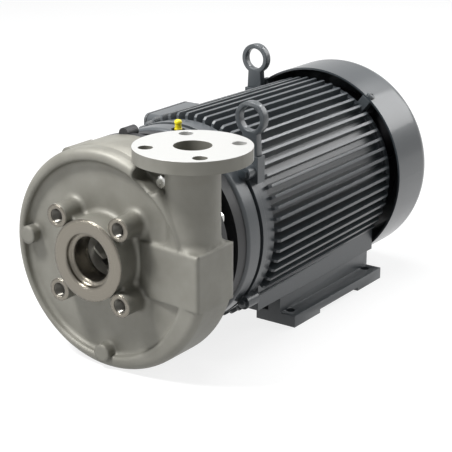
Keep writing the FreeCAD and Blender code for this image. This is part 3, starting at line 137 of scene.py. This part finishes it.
# Volute casing: one stainless casting, bead-blasted to an even matt grain. The suction ring, the four
# bosses, the bores and the discharge flange are machined after casting. The flange is toned bright; the
# turned faces of the ring, bosses and bore are toned darker than the casting, as painted shade.
def fresh_material(name):
    """Empty node material with an output, a Principled shader and Object coordinates."""
    material = bpy.data.materials.new(name)
    material.use_nodes = True
    nodes = material.node_tree.nodes
    nodes.clear()
    output = nodes.new("ShaderNodeOutputMaterial")
    shader = nodes.new("ShaderNodeBsdfPrincipled")
    place = nodes.new("ShaderNodeTexCoord")
    material.node_tree.links.new(shader.outputs[0], output.inputs["Surface"])
    return material, nodes, material.node_tree.links, shader, place.outputs["Object"]


def fresh_group(name, inputs, outputs):
    """Empty node group with named sockets; an input comes with its type, and every output is a value."""
    group = bpy.data.node_groups.new(name, "ShaderNodeTree")
    for socket, kind in inputs.items():
        group.interface.new_socket(socket, in_out="INPUT", socket_type="NodeSocket" + kind)
    for socket in outputs:
        group.interface.new_socket(socket, in_out="OUTPUT", socket_type="NodeSocketFloat")
    source = group.nodes.new("NodeGroupInput")
    result = group.nodes.new("NodeGroupOutput")
    return group, group.nodes, group.links, source.outputs, result.inputs


def placed_group(nodes, group, **values):
    """A node group placed in a material with its own values, such as fine_scale for its Fine Scale."""
    placed = nodes.new("ShaderNodeGroup")
    placed.node_tree = group
    for socket, value in values.items():
        placed.inputs[socket.replace("_", " ").title()].default_value = value
    return placed


def noise(nodes, detail, roughness=0.5):
    """Noise texture."""
    texture = nodes.new("ShaderNodeTexNoise")
    texture.inputs["Detail"].default_value = detail
    texture.inputs["Roughness"].default_value = roughness
    return texture


def grain_group():
    """Surface grain: a fine height and a soft cloudy mask, both from Object coordinates."""
    group, nodes, links, source, result = fresh_group(
        "surface grain", {"Vector": "Vector", "Fine Scale": "Float", "Cloud Scale": "Float"},
        ["Height", "Clouds"])
    for texture, scale, outcome in ((noise(nodes, 4, 0.65), "Fine Scale", "Height"),
                                    (noise(nodes, 3), "Cloud Scale", "Clouds")):
        links.new(source["Vector"], texture.inputs["Vector"])
        links.new(source[scale], texture.inputs["Scale"])
        links.new(texture.outputs["Fac"], result[outcome])
    return group


def turning_group():
    """Tool marks of a lathe: a tone and a height that change only with the distance from the axis."""
    group, nodes, links, source, result = fresh_group(
        "turning marks", {"Radius": "Float", "Pitch Scale": "Float"}, ["Marks"])
    marks = noise(nodes, 5, 0.7)
    marks.noise_dimensions = "1D"
    links.new(source["Radius"], marks.inputs["W"])
    links.new(source["Pitch Scale"], marks.inputs["Scale"])
    links.new(marks.outputs["Fac"], result["Marks"])
    return group


surface_grain = grain_group()
turning_marks = turning_group()


def distance_from(nodes, links, across, up, centre=(0.0, 0.0), folded=False):
    """Distance from an axis; folded counts all four mirror places of the axis."""
    squares = []
    for value, middle in zip((across, up), centre):
        if folded:
            value = worked(nodes, links, "ABSOLUTE", value)
        offset = worked(nodes, links, "SUBTRACT", value, middle)
        squares.append(worked(nodes, links, "MULTIPLY", offset, offset))
    return worked(nodes, links, "SQRT", worked(nodes, links, "ADD", *squares))


def machined_group():
    """Masks of the casing: machined faces, turned suction face, painted shade in the holes, flange, and ring
    radius.
    """
    suction_bore_r, suction_bore_end, suction_face_depth = 30.8 * mm, 34 * mm, 2 * mm
    boss_place, boss_hole_r, boss_hole_mouth, boss_hole_end = 42.66 * mm, 8.1 * mm, 1.7 * mm, 21.5 * mm
    joint_face_y = 83.8 * mm
    pipe_x, pipe_y, pipe_foot = 101 * mm, 56 * mm, 80 * mm
    flange_top, flange_skin, flange_depth = 131.8 * mm, 0.2 * mm, 20 * mm
    group, nodes, links, source, result = fresh_group(
        "machined places", {"Vector": "Vector"}, ["Machined", "Suction Face", "Painted Hole Shade", "Flange", "Radius"])
    axes = nodes.new("ShaderNodeSeparateXYZ")
    links.new(source["Vector"], axes.inputs[0])
    x, y, z = axes.outputs

    def product(first, *others):
        for other in others:
            first = worked(nodes, links, "MULTIPLY", first, other)
        return first

    def either(first, *others):
        for other in others:
            first = worked(nodes, links, "MAXIMUM", first, other)
        return first

    def above(value, limit):
        return worked(nodes, links, "GREATER_THAN", value, limit)

    def below(value, limit):
        return worked(nodes, links, "LESS_THAN", value, limit)

    shaft_r = distance_from(nodes, links, x, z)
    pipe_r = distance_from(nodes, links, x, y, (pipe_x, pipe_y))
    boss_r = distance_from(nodes, links, x, z, (boss_place, boss_place), folded=True)
    on_flange = above(z, flange_top - flange_skin)
    under_pipe = below(z, pipe_foot)
    suction_face = either(product(below(y, suction_bore_end), below(shaft_r, suction_bore_r)),
                          product(below(y, suction_face_depth), under_pipe))
    masks = {
        "Machined": either(suction_face, on_flange, above(y, joint_face_y)),
        "Suction Face": suction_face,
        # the hole mask marks where painted shade goes, inside each boss's tapped hole
        "Painted Hole Shade": product(below(boss_r, boss_hole_r), below(y, boss_hole_end), above(y, boss_hole_mouth)),
        "Flange": above(z, flange_top - flange_depth),
        "Radius": worked(nodes, links, "ADD", product(pipe_r, on_flange), product(shaft_r, under_pipe))}
    for name, mask in masks.items():
        links.new(mask, result[name])
    return group


def toned(nodes, links, mask, dark, light):
    """Colour that runs from dark to light over the middle of a mask."""
    ramp = nodes.new("ShaderNodeValToRGB")
    for stop, position, tone in zip(ramp.color_ramp.elements, (0.3, 0.7), (dark, light)):
        stop.position = position
        stop.color = (*tone, 1)
    links.new(mask, ramp.inputs["Fac"])
    return ramp.outputs["Color"]


def ranged(nodes, links, mask, low, high):
    """Value that runs from low to high with a mask."""
    spread = nodes.new("ShaderNodeMapRange")
    spread.inputs["To Min"].default_value = low
    spread.inputs["To Max"].default_value = high
    links.new(mask, spread.inputs["Value"])
    return spread.outputs["Result"]


def mixed(nodes, links, kind, mask, first, second):
    """First where the mask is 0, second where it is 1, of the kind RGBA, FLOAT or VECTOR."""
    mix = nodes.new("ShaderNodeMix")
    mix.data_type = kind
    links.new(mask, mix.inputs["Factor"])
    links.new(first, mix.inputs["A"])
    links.new(second, mix.inputs["B"])
    return mix.outputs["Result"]


def rounded_normal(nodes, radius):
    """Normal of corners that look rounded to a radius."""
    corner = nodes.new("ShaderNodeBevel")
    corner.samples = 6
    corner.inputs["Radius"].default_value = radius
    return corner.outputs["Normal"]


def relief(nodes, links, height, strength, shader, normal=None):
    """Fine relief from a height, on the shader's normal."""
    bump = nodes.new("ShaderNodeBump")
    bump.inputs["Strength"].default_value = strength
    bump.inputs["Distance"].default_value = 0.4 * mm
    links.new(height, bump.inputs["Height"])
    if normal is not None:
        links.new(normal, bump.inputs["Normal"])
    links.new(bump.outputs["Normal"], shader.inputs["Normal"])


def casing_material():
    """Blasted casting with machined faces and painted shade in the tapped holes."""
    material, nodes, links, shader, place = fresh_material("stainless casting")
    grain = placed_group(nodes, surface_grain, fine_scale=900, cloud_scale=26)
    faces = placed_group(nodes, machined_group())
    turning = placed_group(nodes, turning_marks, pitch_scale=1800)
    links.new(place, grain.inputs["Vector"])
    links.new(place, faces.inputs["Vector"])
    links.new(faces.outputs["Radius"], turning.inputs["Radius"])
    clouds, marks = grain.outputs["Clouds"], turning.outputs["Marks"]
    machined, suction_face = faces.outputs["Machined"], faces.outputs["Suction Face"]

    cast = toned(nodes, links, clouds, (0.225, 0.218, 0.188), (0.295, 0.287, 0.252))
    milled = toned(nodes, links, marks, (0.60, 0.60, 0.585), (0.68, 0.68, 0.66))
    # Painted shade: the turned suction face is toned darker than the same turned stainless inside the pump.
    turned_painted_shade = toned(nodes, links, marks, (0.17, 0.155, 0.128), (0.27, 0.25, 0.215))
    # Painted shade: the insides of the tapped holes are toned near-black, as if in shade.
    painted_hole_shade = toned(nodes, links, clouds, (0.05, 0.045, 0.04), (0.07, 0.065, 0.06))
    colour = mixed(nodes, links, "RGBA", machined, cast, milled)
    colour = mixed(nodes, links, "RGBA", suction_face, colour, turned_painted_shade)
    colour = mixed(nodes, links, "RGBA", faces.outputs["Painted Hole Shade"], colour, painted_hole_shade)
    links.new(colour, shader.inputs["Base Color"])

    rough = mixed(nodes, links, "FLOAT", machined, ranged(nodes, links, clouds, 0.42, 0.56),
                  ranged(nodes, links, marks, 0.34, 0.44))
    rough = mixed(nodes, links, "FLOAT", suction_face, rough, ranged(nodes, links, marks, 0.16, 0.26))
    links.new(rough, shader.inputs["Roughness"])
    metal = mixed(nodes, links, "FLOAT", suction_face, ranged(nodes, links, machined, 0.35, 0.4),
                  ranged(nodes, links, marks, 0.95, 1.0))
    links.new(metal, shader.inputs["Metallic"])

    height = mixed(nodes, links, "FLOAT", machined, grain.outputs["Height"],
                   worked(nodes, links, "MULTIPLY", marks, 0.5))
    normal = mixed(nodes, links, "VECTOR", faces.outputs["Flange"], rounded_normal(nodes, 6 * mm),
                   rounded_normal(nodes, 0.8 * mm))
    relief(nodes, links, height, 0.45, shader, normal)
    return material


def paint(material, *names):
    """Give CAD nodes one material."""
    for name in names:
        mesh = node[name].data
        mesh.materials.clear()
        mesh.materials.append(material)


paint(casing_material(), "volute_casing")


# Threads of the four suction bosses: cut in the casting with a tap, bright crests over dark roots.
# Each is a sleeve of thread ridges that lines its hole, its stainless toned near-black as painted shade.
def raised(name, steps, sides=32, hollow=False):
    """Round piece drawn up along Z ring by ring from (height, radius) steps; hollow closes on its start."""
    height, radius = steps[0]
    bpy.ops.object.select_all(action="DESELECT")
    bpy.ops.mesh.primitive_circle_add(vertices=sides, radius=radius, location=(0, 0, height),
                                      fill_type="NOTHING" if hollow else "NGON")
    piece = bpy.context.object
    piece.name = name
    bpy.ops.object.transform_apply()
    bpy.ops.object.mode_set(mode="EDIT")
    for next_height, next_radius in steps[1:] + (steps[:1] if hollow else []):
        bpy.ops.mesh.extrude_region_move(
            TRANSFORM_OT_translate={"value": (0, 0, next_height - height)})
        bpy.ops.transform.resize(value=(next_radius / radius, next_radius / radius, 1),
                                 center_override=(0, 0, next_height))
        height, radius = next_height, next_radius
    bpy.ops.mesh.select_all(action="SELECT")
    bpy.ops.mesh.remove_doubles(threshold=1e-7)
    bpy.ops.mesh.normals_make_consistent(inside=False)
    bpy.ops.object.mode_set(mode="OBJECT")
    return piece


def pick(*pieces):
    """Select these pieces alone, the first one active."""
    bpy.ops.object.select_all(action="DESELECT")
    for piece in pieces:
        piece.select_set(True)
    bpy.context.view_layer.objects.active = pieces[0]


def joined(name, *pieces):
    """Several meshes as one piece."""
    pick(*pieces)
    if len(pieces) > 1:
        bpy.ops.object.join()
    pieces[0].name = name
    return pieces[0]


def stamped(name, pattern, places):
    """Copies of a pattern at their places, joined to one piece with its place in its mesh."""
    copies = []
    for place in places:
        pick(pattern)
        bpy.ops.object.duplicate()
        bpy.context.object.matrix_world = place
        copies.append(bpy.context.object)
    piece = joined(name, *copies)
    bpy.ops.object.transform_apply()
    bpy.data.objects.remove(pattern)
    return piece


def around_shaft(radius, y, angles, forward=True):
    """Places on a circle round the shaft, at angles from its top, with a piece's Z turned to +Y or -Y."""
    turn = Matrix.Rotation(math.radians(-90 if forward else 90), 4, "X")
    return [Matrix.Translation((radius * math.sin(angle), y, radius * math.cos(angle))) @ turn
            for angle in map(math.radians, angles)]


def dressed(piece, material, slot, *replaced, body="root"):
    """Finish a new piece: smooth shading, material, body, and the node that it stands for; slot is not used.
    """
    pick(piece)
    bpy.ops.object.shade_smooth_by_angle(angle=math.radians(35))
    piece.data.materials.clear()
    piece.data.materials.append(material)
    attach(piece, body)
    if replaced:
        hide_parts(*replaced)


def grained(name, dark, light, rough, fine_scale, cloud_scale, bump, metallic=0.0, coat=0.0,
            coat_rough=0.1, edge=0.0):
    """Material whose tone, roughness and relief come from the grain group; edge rounds the corners."""
    material, nodes, links, shader, place = fresh_material(name)
    grain = placed_group(nodes, surface_grain, fine_scale=fine_scale, cloud_scale=cloud_scale)
    clouds = grain.outputs["Clouds"]
    links.new(place, grain.inputs["Vector"])
    links.new(toned(nodes, links, clouds, dark, light), shader.inputs["Base Color"])
    links.new(ranged(nodes, links, clouds, rough - 0.05, rough + 0.05), shader.inputs["Roughness"])
    normal = rounded_normal(nodes, edge) if edge else None
    relief(nodes, links, grain.outputs["Height"], bump, shader, normal)
    shader.inputs["Metallic"].default_value = metallic
    shader.inputs["Coat Weight"].default_value = coat
    shader.inputs["Coat Roughness"].default_value = coat_rough
    return material


thread_pitch, thread_turns = 2.309 * mm, 7
hole_r, root_r, crest_r = 7.93 * mm, 7.7 * mm, 6.9 * mm
thread_steps = [(0, hole_r), (0, root_r)]
for turn in range(thread_turns):
    thread_steps += [(turn * thread_pitch + rise * mm, radius) for rise, radius in
                     ((0.3, root_r), (1.1, crest_r), (1.4, crest_r), (2.2, root_r))]
thread_end = thread_turns * thread_pitch + 0.3 * mm
thread_steps += [(thread_end, root_r), (thread_end, hole_r)]
thread_sleeve = raised("thread sleeve", thread_steps, sides=24, hollow=True)
suction_bolt_circle_r, thread_start = 120.65 / 2 * mm, 2.2 * mm
# Painted shade: the thread's stainless is toned near-black so that the holes look shaded.
thread_painted_shade = grained("cut stainless thread in painted shade", (0.09, 0.085, 0.075), (0.16, 0.155, 0.14), 0.30, 700, 90, 0.08,
                     metallic=1.0)
dressed(stamped("suction_boss_threads", thread_sleeve,
                around_shaft(suction_bolt_circle_r, thread_start, (45, 135, 225, 315))),
        thread_painted_shade, "stainless_casting")

# Inside of the pump: the stainless wear ring, casing cover and shaft sleeve are turned all over, and the
# impeller is a finer casting than the volute. All of them are brighter than the volute.
paint(grained("turned stainless", (0.55, 0.54, 0.51), (0.66, 0.65, 0.62), 0.27, 500, 40, 0.08, metallic=1.0),
      "casing_wear_ring", "casing_cover", "shaft_sleeve")
paint(grained("impeller casting", (0.58, 0.57, 0.54), (0.70, 0.69, 0.66), 0.42, 700, 60, 0.20, metallic=0.6),
      "impeller")


# Casing bolts: bright stainless hexagon bolts round the bracket's front flange, and the through bolt
# whose head sits in the pocket beside the discharge pipe, its nut behind the flange.
def cut_with(piece, operation, tool):
    """Boolean of a piece and a tool, after which the tool goes."""
    bpy.context.view_layer.objects.active = piece
    cut = piece.modifiers.new("cut", "BOOLEAN")
    cut.operation = operation
    cut.object = tool
    bpy.ops.object.modifier_apply(modifier="cut")
    bpy.data.objects.remove(tool)


def hexagon_bolt(name, flats, head, shank_r, shank):
    """Bolt along Z with its seat at the origin: chamfered hexagon, washer face and shank."""
    corner, chamfer_r, washer_r = flats / math.sqrt(3), 0.46 * flats, 0.48 * flats
    washer = 0.08 * head
    fall = (corner - chamfer_r) * math.tan(math.radians(30))
    cone = raised("chamfer cone", [(washer, corner), (head - fall, corner), (head, chamfer_r)], sides=36)
    bpy.ops.mesh.primitive_cylinder_add(vertices=6, radius=corner, depth=head - washer,
                                        location=(0, 0, (head + washer) / 2))
    hexagon = bpy.context.object
    bpy.ops.object.transform_apply()
    cut_with(hexagon, "INTERSECT", cone)
    stem = raised("stem", [(-shank, 0.8 * shank_r), (0.4 * shank_r - shank, shank_r), (0, shank_r),
                           (0, washer_r), (washer, washer_r), (1.01 * washer, 0.4 * flats)], sides=24)
    return joined(name, hexagon, stem)


bolt_steel = grained("bright bolt steel", (0.50, 0.50, 0.48), (0.62, 0.62, 0.60), 0.28, 600, 90, 0.10,
                     metallic=1.0)
casing_bolt_circle_r, flange_back, pocket_floor = 113 * mm, 93 * mm, 48 * mm
casing_bolt_angles = [7.5 + 30 * index for index in range(12)]
pocket_angle = casing_bolt_angles[1]
casing_bolt = {"flats": 13 * mm, "head": 5.5 * mm, "shank_r": 4 * mm}
flange_heads = stamped("flange bolt heads", hexagon_bolt("flange bolt", shank=18 * mm, **casing_bolt),
                       around_shaft(casing_bolt_circle_r, flange_back, casing_bolt_angles))
pocket_bolt = stamped("pocket bolt", hexagon_bolt("pocket bolt head", shank=36 * mm, **casing_bolt),
                      around_shaft(casing_bolt_circle_r, pocket_floor, [pocket_angle], forward=False))
dressed(joined("casing_hexagon_bolts", flange_heads, pocket_bolt), bolt_steel, "bright_bolt",
        "casing_bolts")
paint(bolt_steel, "impeller_washer", "impeller_bolt")

# Bracket: one grey iron casting, painted black, that carries the casing on the motor. Its windows show
# the seal and the slinger. Its near-black tone is that paint and also painted shade between casing and
# motor.
paint(grained("black bracket paint and painted shade", (0.012, 0.012, 0.013), (0.022, 0.022, 0.024), 0.45, 500, 40, 0.3),
      "adapter_bracket")

# Gasket, shaft seal and slinger: fibre sheet between casing and bracket, a ceramic seat in a rubber cup
# against a carbon ring, nitrile bellows and slinger, and stainless springs and clips.
paint(grained("gasket fibre", (0.20, 0.18, 0.14), (0.30, 0.27, 0.22), 0.85, 900, 90, 0.3), "casing_gasket")
paint(grained("white ceramic", (0.74, 0.73, 0.68), (0.82, 0.81, 0.77), 0.25, 900, 90, 0.02), "seal_seat")
paint(grained("carbon", (0.015, 0.015, 0.017), (0.03, 0.03, 0.033), 0.35, 900, 90, 0.05), "seal_head")
paint(grained("black rubber", (0.012, 0.012, 0.012), (0.022, 0.022, 0.022), 0.65, 800, 80, 0.15),
      "seal_seat_cup", "seal_bellows", "slinger", "conduit_cover_gasket")
paint(grained("spring steel", (0.42, 0.42, 0.40), (0.52, 0.52, 0.50), 0.3, 500, 80, 0.05, metallic=1.0),
      "seal_spring", "spring_holder", "bearing_snap_ring", "preload_spring", "fan_clip")

# Motor castings: the two end bells and the finned frame between them, cast iron in semi-gloss slate
# enamel, with the faint orange peel of sprayed paint.
motor_enamel = grained("slate motor enamel", (0.066, 0.075, 0.082), (0.078, 0.088, 0.096), 0.36, 260, 25,
                       0.25, coat=0.35, coat_rough=0.22, edge=0.8 * mm)
paint(motor_enamel, "drive_end_bell", "motor_frame", "rear_end_bell")


# Feet, lifting eyes and conduit box: castings of the same iron and enamel, carried by the frame. Their
# edges are rounded by the sand mould.
def softened(name, source, width):
    """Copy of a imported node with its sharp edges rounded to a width."""
    piece = bpy.data.objects.new(name, node[source].data.copy())
    bpy.context.collection.objects.link(piece)
    pick(piece)
    bpy.ops.object.mode_set(mode="EDIT")
    bpy.ops.mesh.select_all(action="SELECT")
    bpy.ops.mesh.remove_doubles(threshold=1e-6)
    bpy.ops.mesh.dissolve_limited(angle_limit=math.radians(0.5))
    bpy.ops.object.mode_set(mode="OBJECT")
    rounding = piece.modifiers.new("rounded edges", "BEVEL")
    rounding.width = width
    rounding.segments = 3
    rounding.limit_method = "ANGLE"
    rounding.angle_limit = math.radians(35)
    bpy.ops.object.modifier_apply(modifier="rounded edges")
    return piece


for name, width in (("right_foot", 1.6), ("left_foot", 1.6), ("front_lifting_eye", 2.2),
                    ("rear_lifting_eye", 2.2), ("conduit_box", 1.5), ("conduit_box_cover", 1.5)):
    dressed(softened(name + "_casting", name, width * mm), motor_enamel, "motor_enamel", name)

# Motor bolts: four large hexagon bolts through the bracket's rear flange into the bell, steel, painted
# over with the motor.
sheet_enamel = grained("slate sheet enamel", (0.036, 0.044, 0.050), (0.044, 0.053, 0.060), 0.32, 120, 12,
                       0.06, coat=0.5, coat_rough=0.10)
motor_bolt = hexagon_bolt("motor bolt", flats=14 * mm, head=6.4 * mm, shank_r=4.75 * mm, shank=26 * mm)
motor_bolt_places = around_shaft(radius=103 * mm, y=120 * mm, angles=(45, 135, 225, 315), forward=False)
dressed(stamped("motor_flange_bolts", motor_bolt, motor_bolt_places), sheet_enamel, "dark_bolt",
        "motor_bolts")

# Bell bolts: four small hexagon bolts through the ears of the front bell into those of the frame, steel,
# painted over too.
bell_bolt = hexagon_bolt("bell bolt", flats=10 * mm, head=4 * mm, shank_r=3 * mm, shank=20 * mm)
bell_bolt_places = around_shaft(radius=123 * mm, y=156 * mm, angles=(51.5, 128.5, -128.5, -51.5),
                                forward=False)
dressed(stamped("bell_ear_bolts", bell_bolt, bell_bolt_places), sheet_enamel, "dark_bolt", "bell_bolts")

# Fan cover: a deep-drawn cup of steel sheet with a slotted grille in its end, sprayed glossier than the
# castings. Four screws hold it to the rear bell.
paint(sheet_enamel, "fan_cover")


# Fan cover screws: steel pan heads with a cross recess, screwed in from the side into the lugs of the
# rear bell.
def pan_screw(name, head_r, head, shank_r, shank):
    """Screw along Z with its seat at the origin: domed head with a cross recess, and shank."""
    screw = raised(name, [(-shank, 0.6 * shank_r), (shank_r - shank, shank_r), (0, shank_r), (0, head_r),
                          (0.4 * head, head_r), (0.75 * head, 0.9 * head_r), (0.95 * head, 0.68 * head_r),
                          (head, 0.4 * head_r)], sides=28)
    for turn in (0, 90):
        bpy.ops.mesh.primitive_cube_add(size=1, location=(0, 0, head))
        blade = bpy.context.object
        blade.scale = (1.15 * head_r, 0.22 * head_r, head)
        blade.rotation_euler = (0, 0, math.radians(turn))
        bpy.ops.object.transform_apply()
        cut_with(screw, "DIFFERENCE", blade)
    return screw


cover_screw = pan_screw("cover screw", head_r=5.5 * mm, head=3.5 * mm, shank_r=3 * mm, shank=18 * mm)
cover_lug_y, cover_r = 463 * mm, 130 * mm
cover_screw_places = [
    Matrix.Rotation(math.radians(angle), 4, "Y") @ Matrix.Translation((0, cover_lug_y, cover_r))
    for angle in (38, 142, -142, -38)]
dressed(stamped("cover_pan_screws", cover_screw, cover_screw_places), sheet_enamel, "dark_bolt",
        "fan_cover_screws")

# Conduit cover screws: the same pan heads, smaller, one in each corner of the box cover, screwed into
# the box through its gasket.
conduit_screw = pan_screw("conduit screw", head_r=4.8 * mm, head=3 * mm, shank_r=2.5 * mm, shank=16.5 * mm)
box_cover_x = -159 * mm
conduit_screw_places = [
    Matrix.Translation((box_cover_x, y * mm, z * mm)) @ Matrix.Rotation(math.radians(-90), 4, "Y")
    for y in (309, 386) for z in (-9, 69)]
dressed(stamped("conduit_pan_screws", conduit_screw, conduit_screw_places), sheet_enamel, "dark_bolt",
        "conduit_cover_screws")

# Bearings: hardened and polished steel rings and balls, with pressed brass cages. The outer rings sit in
# the bells, the inner rings on the shaft.
paint(grained("bearing steel", (0.50, 0.50, 0.51), (0.60, 0.60, 0.61), 0.12, 300, 60, 0.02, metallic=1.0),
      "front_bearing_outer", "rear_bearing_outer", "front_bearing_inner", "rear_bearing_inner",
      "front_bearing_balls", "rear_bearing_balls")
paint(grained("cage brass", (0.42, 0.29, 0.11), (0.52, 0.37, 0.15), 0.35, 500, 80, 0.05, metallic=1.0),
      "front_bearing_cage", "rear_bearing_cage")

# Stator and rotor: stacked sheet cores, varnished copper coil ends, cast aluminium rings and a ground
# shaft. The stator is pressed into the frame, the rotor onto the shaft.
paint(grained("electrical steel", (0.10, 0.10, 0.105), (0.15, 0.15, 0.155), 0.5, 800, 60, 0.2, metallic=0.8),
      "stator_core", "rotor_core")
paint(grained("varnished copper", (0.24, 0.07, 0.025), (0.36, 0.12, 0.045), 0.35, 700, 120, 0.5, coat=0.5),
      "stator_windings")
paint(grained("shaft steel", (0.40, 0.40, 0.40), (0.48, 0.48, 0.48), 0.28, 500, 60, 0.05, metallic=1.0),
      "motor_shaft", "impeller_key")
paint(grained("cast aluminium", (0.52, 0.52, 0.53), (0.60, 0.60, 0.61), 0.45, 600, 60, 0.2, metallic=1.0),
      "rotor_end_rings")

# Cooling fan and terminal block: black moulded plastic on the shaft's rear end, and brown phenolic in
# the conduit box.
paint(grained("black fan plastic", (0.018, 0.018, 0.02), (0.03, 0.03, 0.033), 0.5, 600, 60, 0.15),
      "cooling_fan")
paint(grained("brown terminal plastic", (0.06, 0.02, 0.01), (0.09, 0.035, 0.015), 0.4, 600, 60, 0.1),
      "terminal_block")

# Grease nipple: plated brass, a hexagon with a stem and a ball head, screwed into a spot face on top of
# the front bell.
nipple_brass = grained("plated brass", (0.35, 0.27, 0.12), (0.45, 0.36, 0.17), 0.3, 500, 80, 0.05,
                       metallic=1.0)
bell_r, spot_face_depth = 117 * mm, 4 * mm
nipple_x, nipple_y = 13 * mm, 147 * mm
nipple_seat = math.sqrt(bell_r ** 2 - nipple_x ** 2) - spot_face_depth
nipple_place = [Matrix.Translation((nipple_x, nipple_y, nipple_seat))]
nipple_hexagon = hexagon_bolt("nipple hexagon", flats=8 * mm, head=3.5 * mm, shank_r=3 * mm, shank=8 * mm)
nipple_stem = raised("nipple stem", [(height * mm, radius * mm) for height, radius in
                                     ((3.4, 2.6), (5.6, 2.3), (6.0, 1.9), (6.6, 1.9), (7.1, 2.6),
                                      (8.2, 2.8), (8.8, 1.9), (9.0, 0.8))], sides=24)
dressed(stamped("greasing_nipple", joined("nipple", nipple_hexagon, nipple_stem), nipple_place),
        nipple_brass, "nipple_brass", "grease_nipple")

# Nipple cap: soft yellow plastic dust cap with a rolled rim, a waist and a domed top, pushed over the
# nipple's head.
cap_yellow = grained("yellow cap plastic", (0.90, 0.74, 0.01), (0.96, 0.82, 0.02), 0.35, 500, 80, 0.05)
cap_start = 3.55
dust_cap = raised("dust cap", [((height + cap_start) * mm, radius * mm) for height, radius in
                               ((6.2, 3.06), (0, 3.06), (0, 4.3), (0.9, 4.4), (1.6, 4.4), (2.0, 3.9),
                                (7.2, 3.7), (7.7, 4.3), (9.4, 4.35), (10.8, 3.7), (11.6, 2.6),
                                (12.0, 1.2))], sides=30)
dressed(stamped("dust_cap", dust_cap, nipple_place), cap_yellow, "cap_yellow", "nipple_cap",
        body="grease_cap")
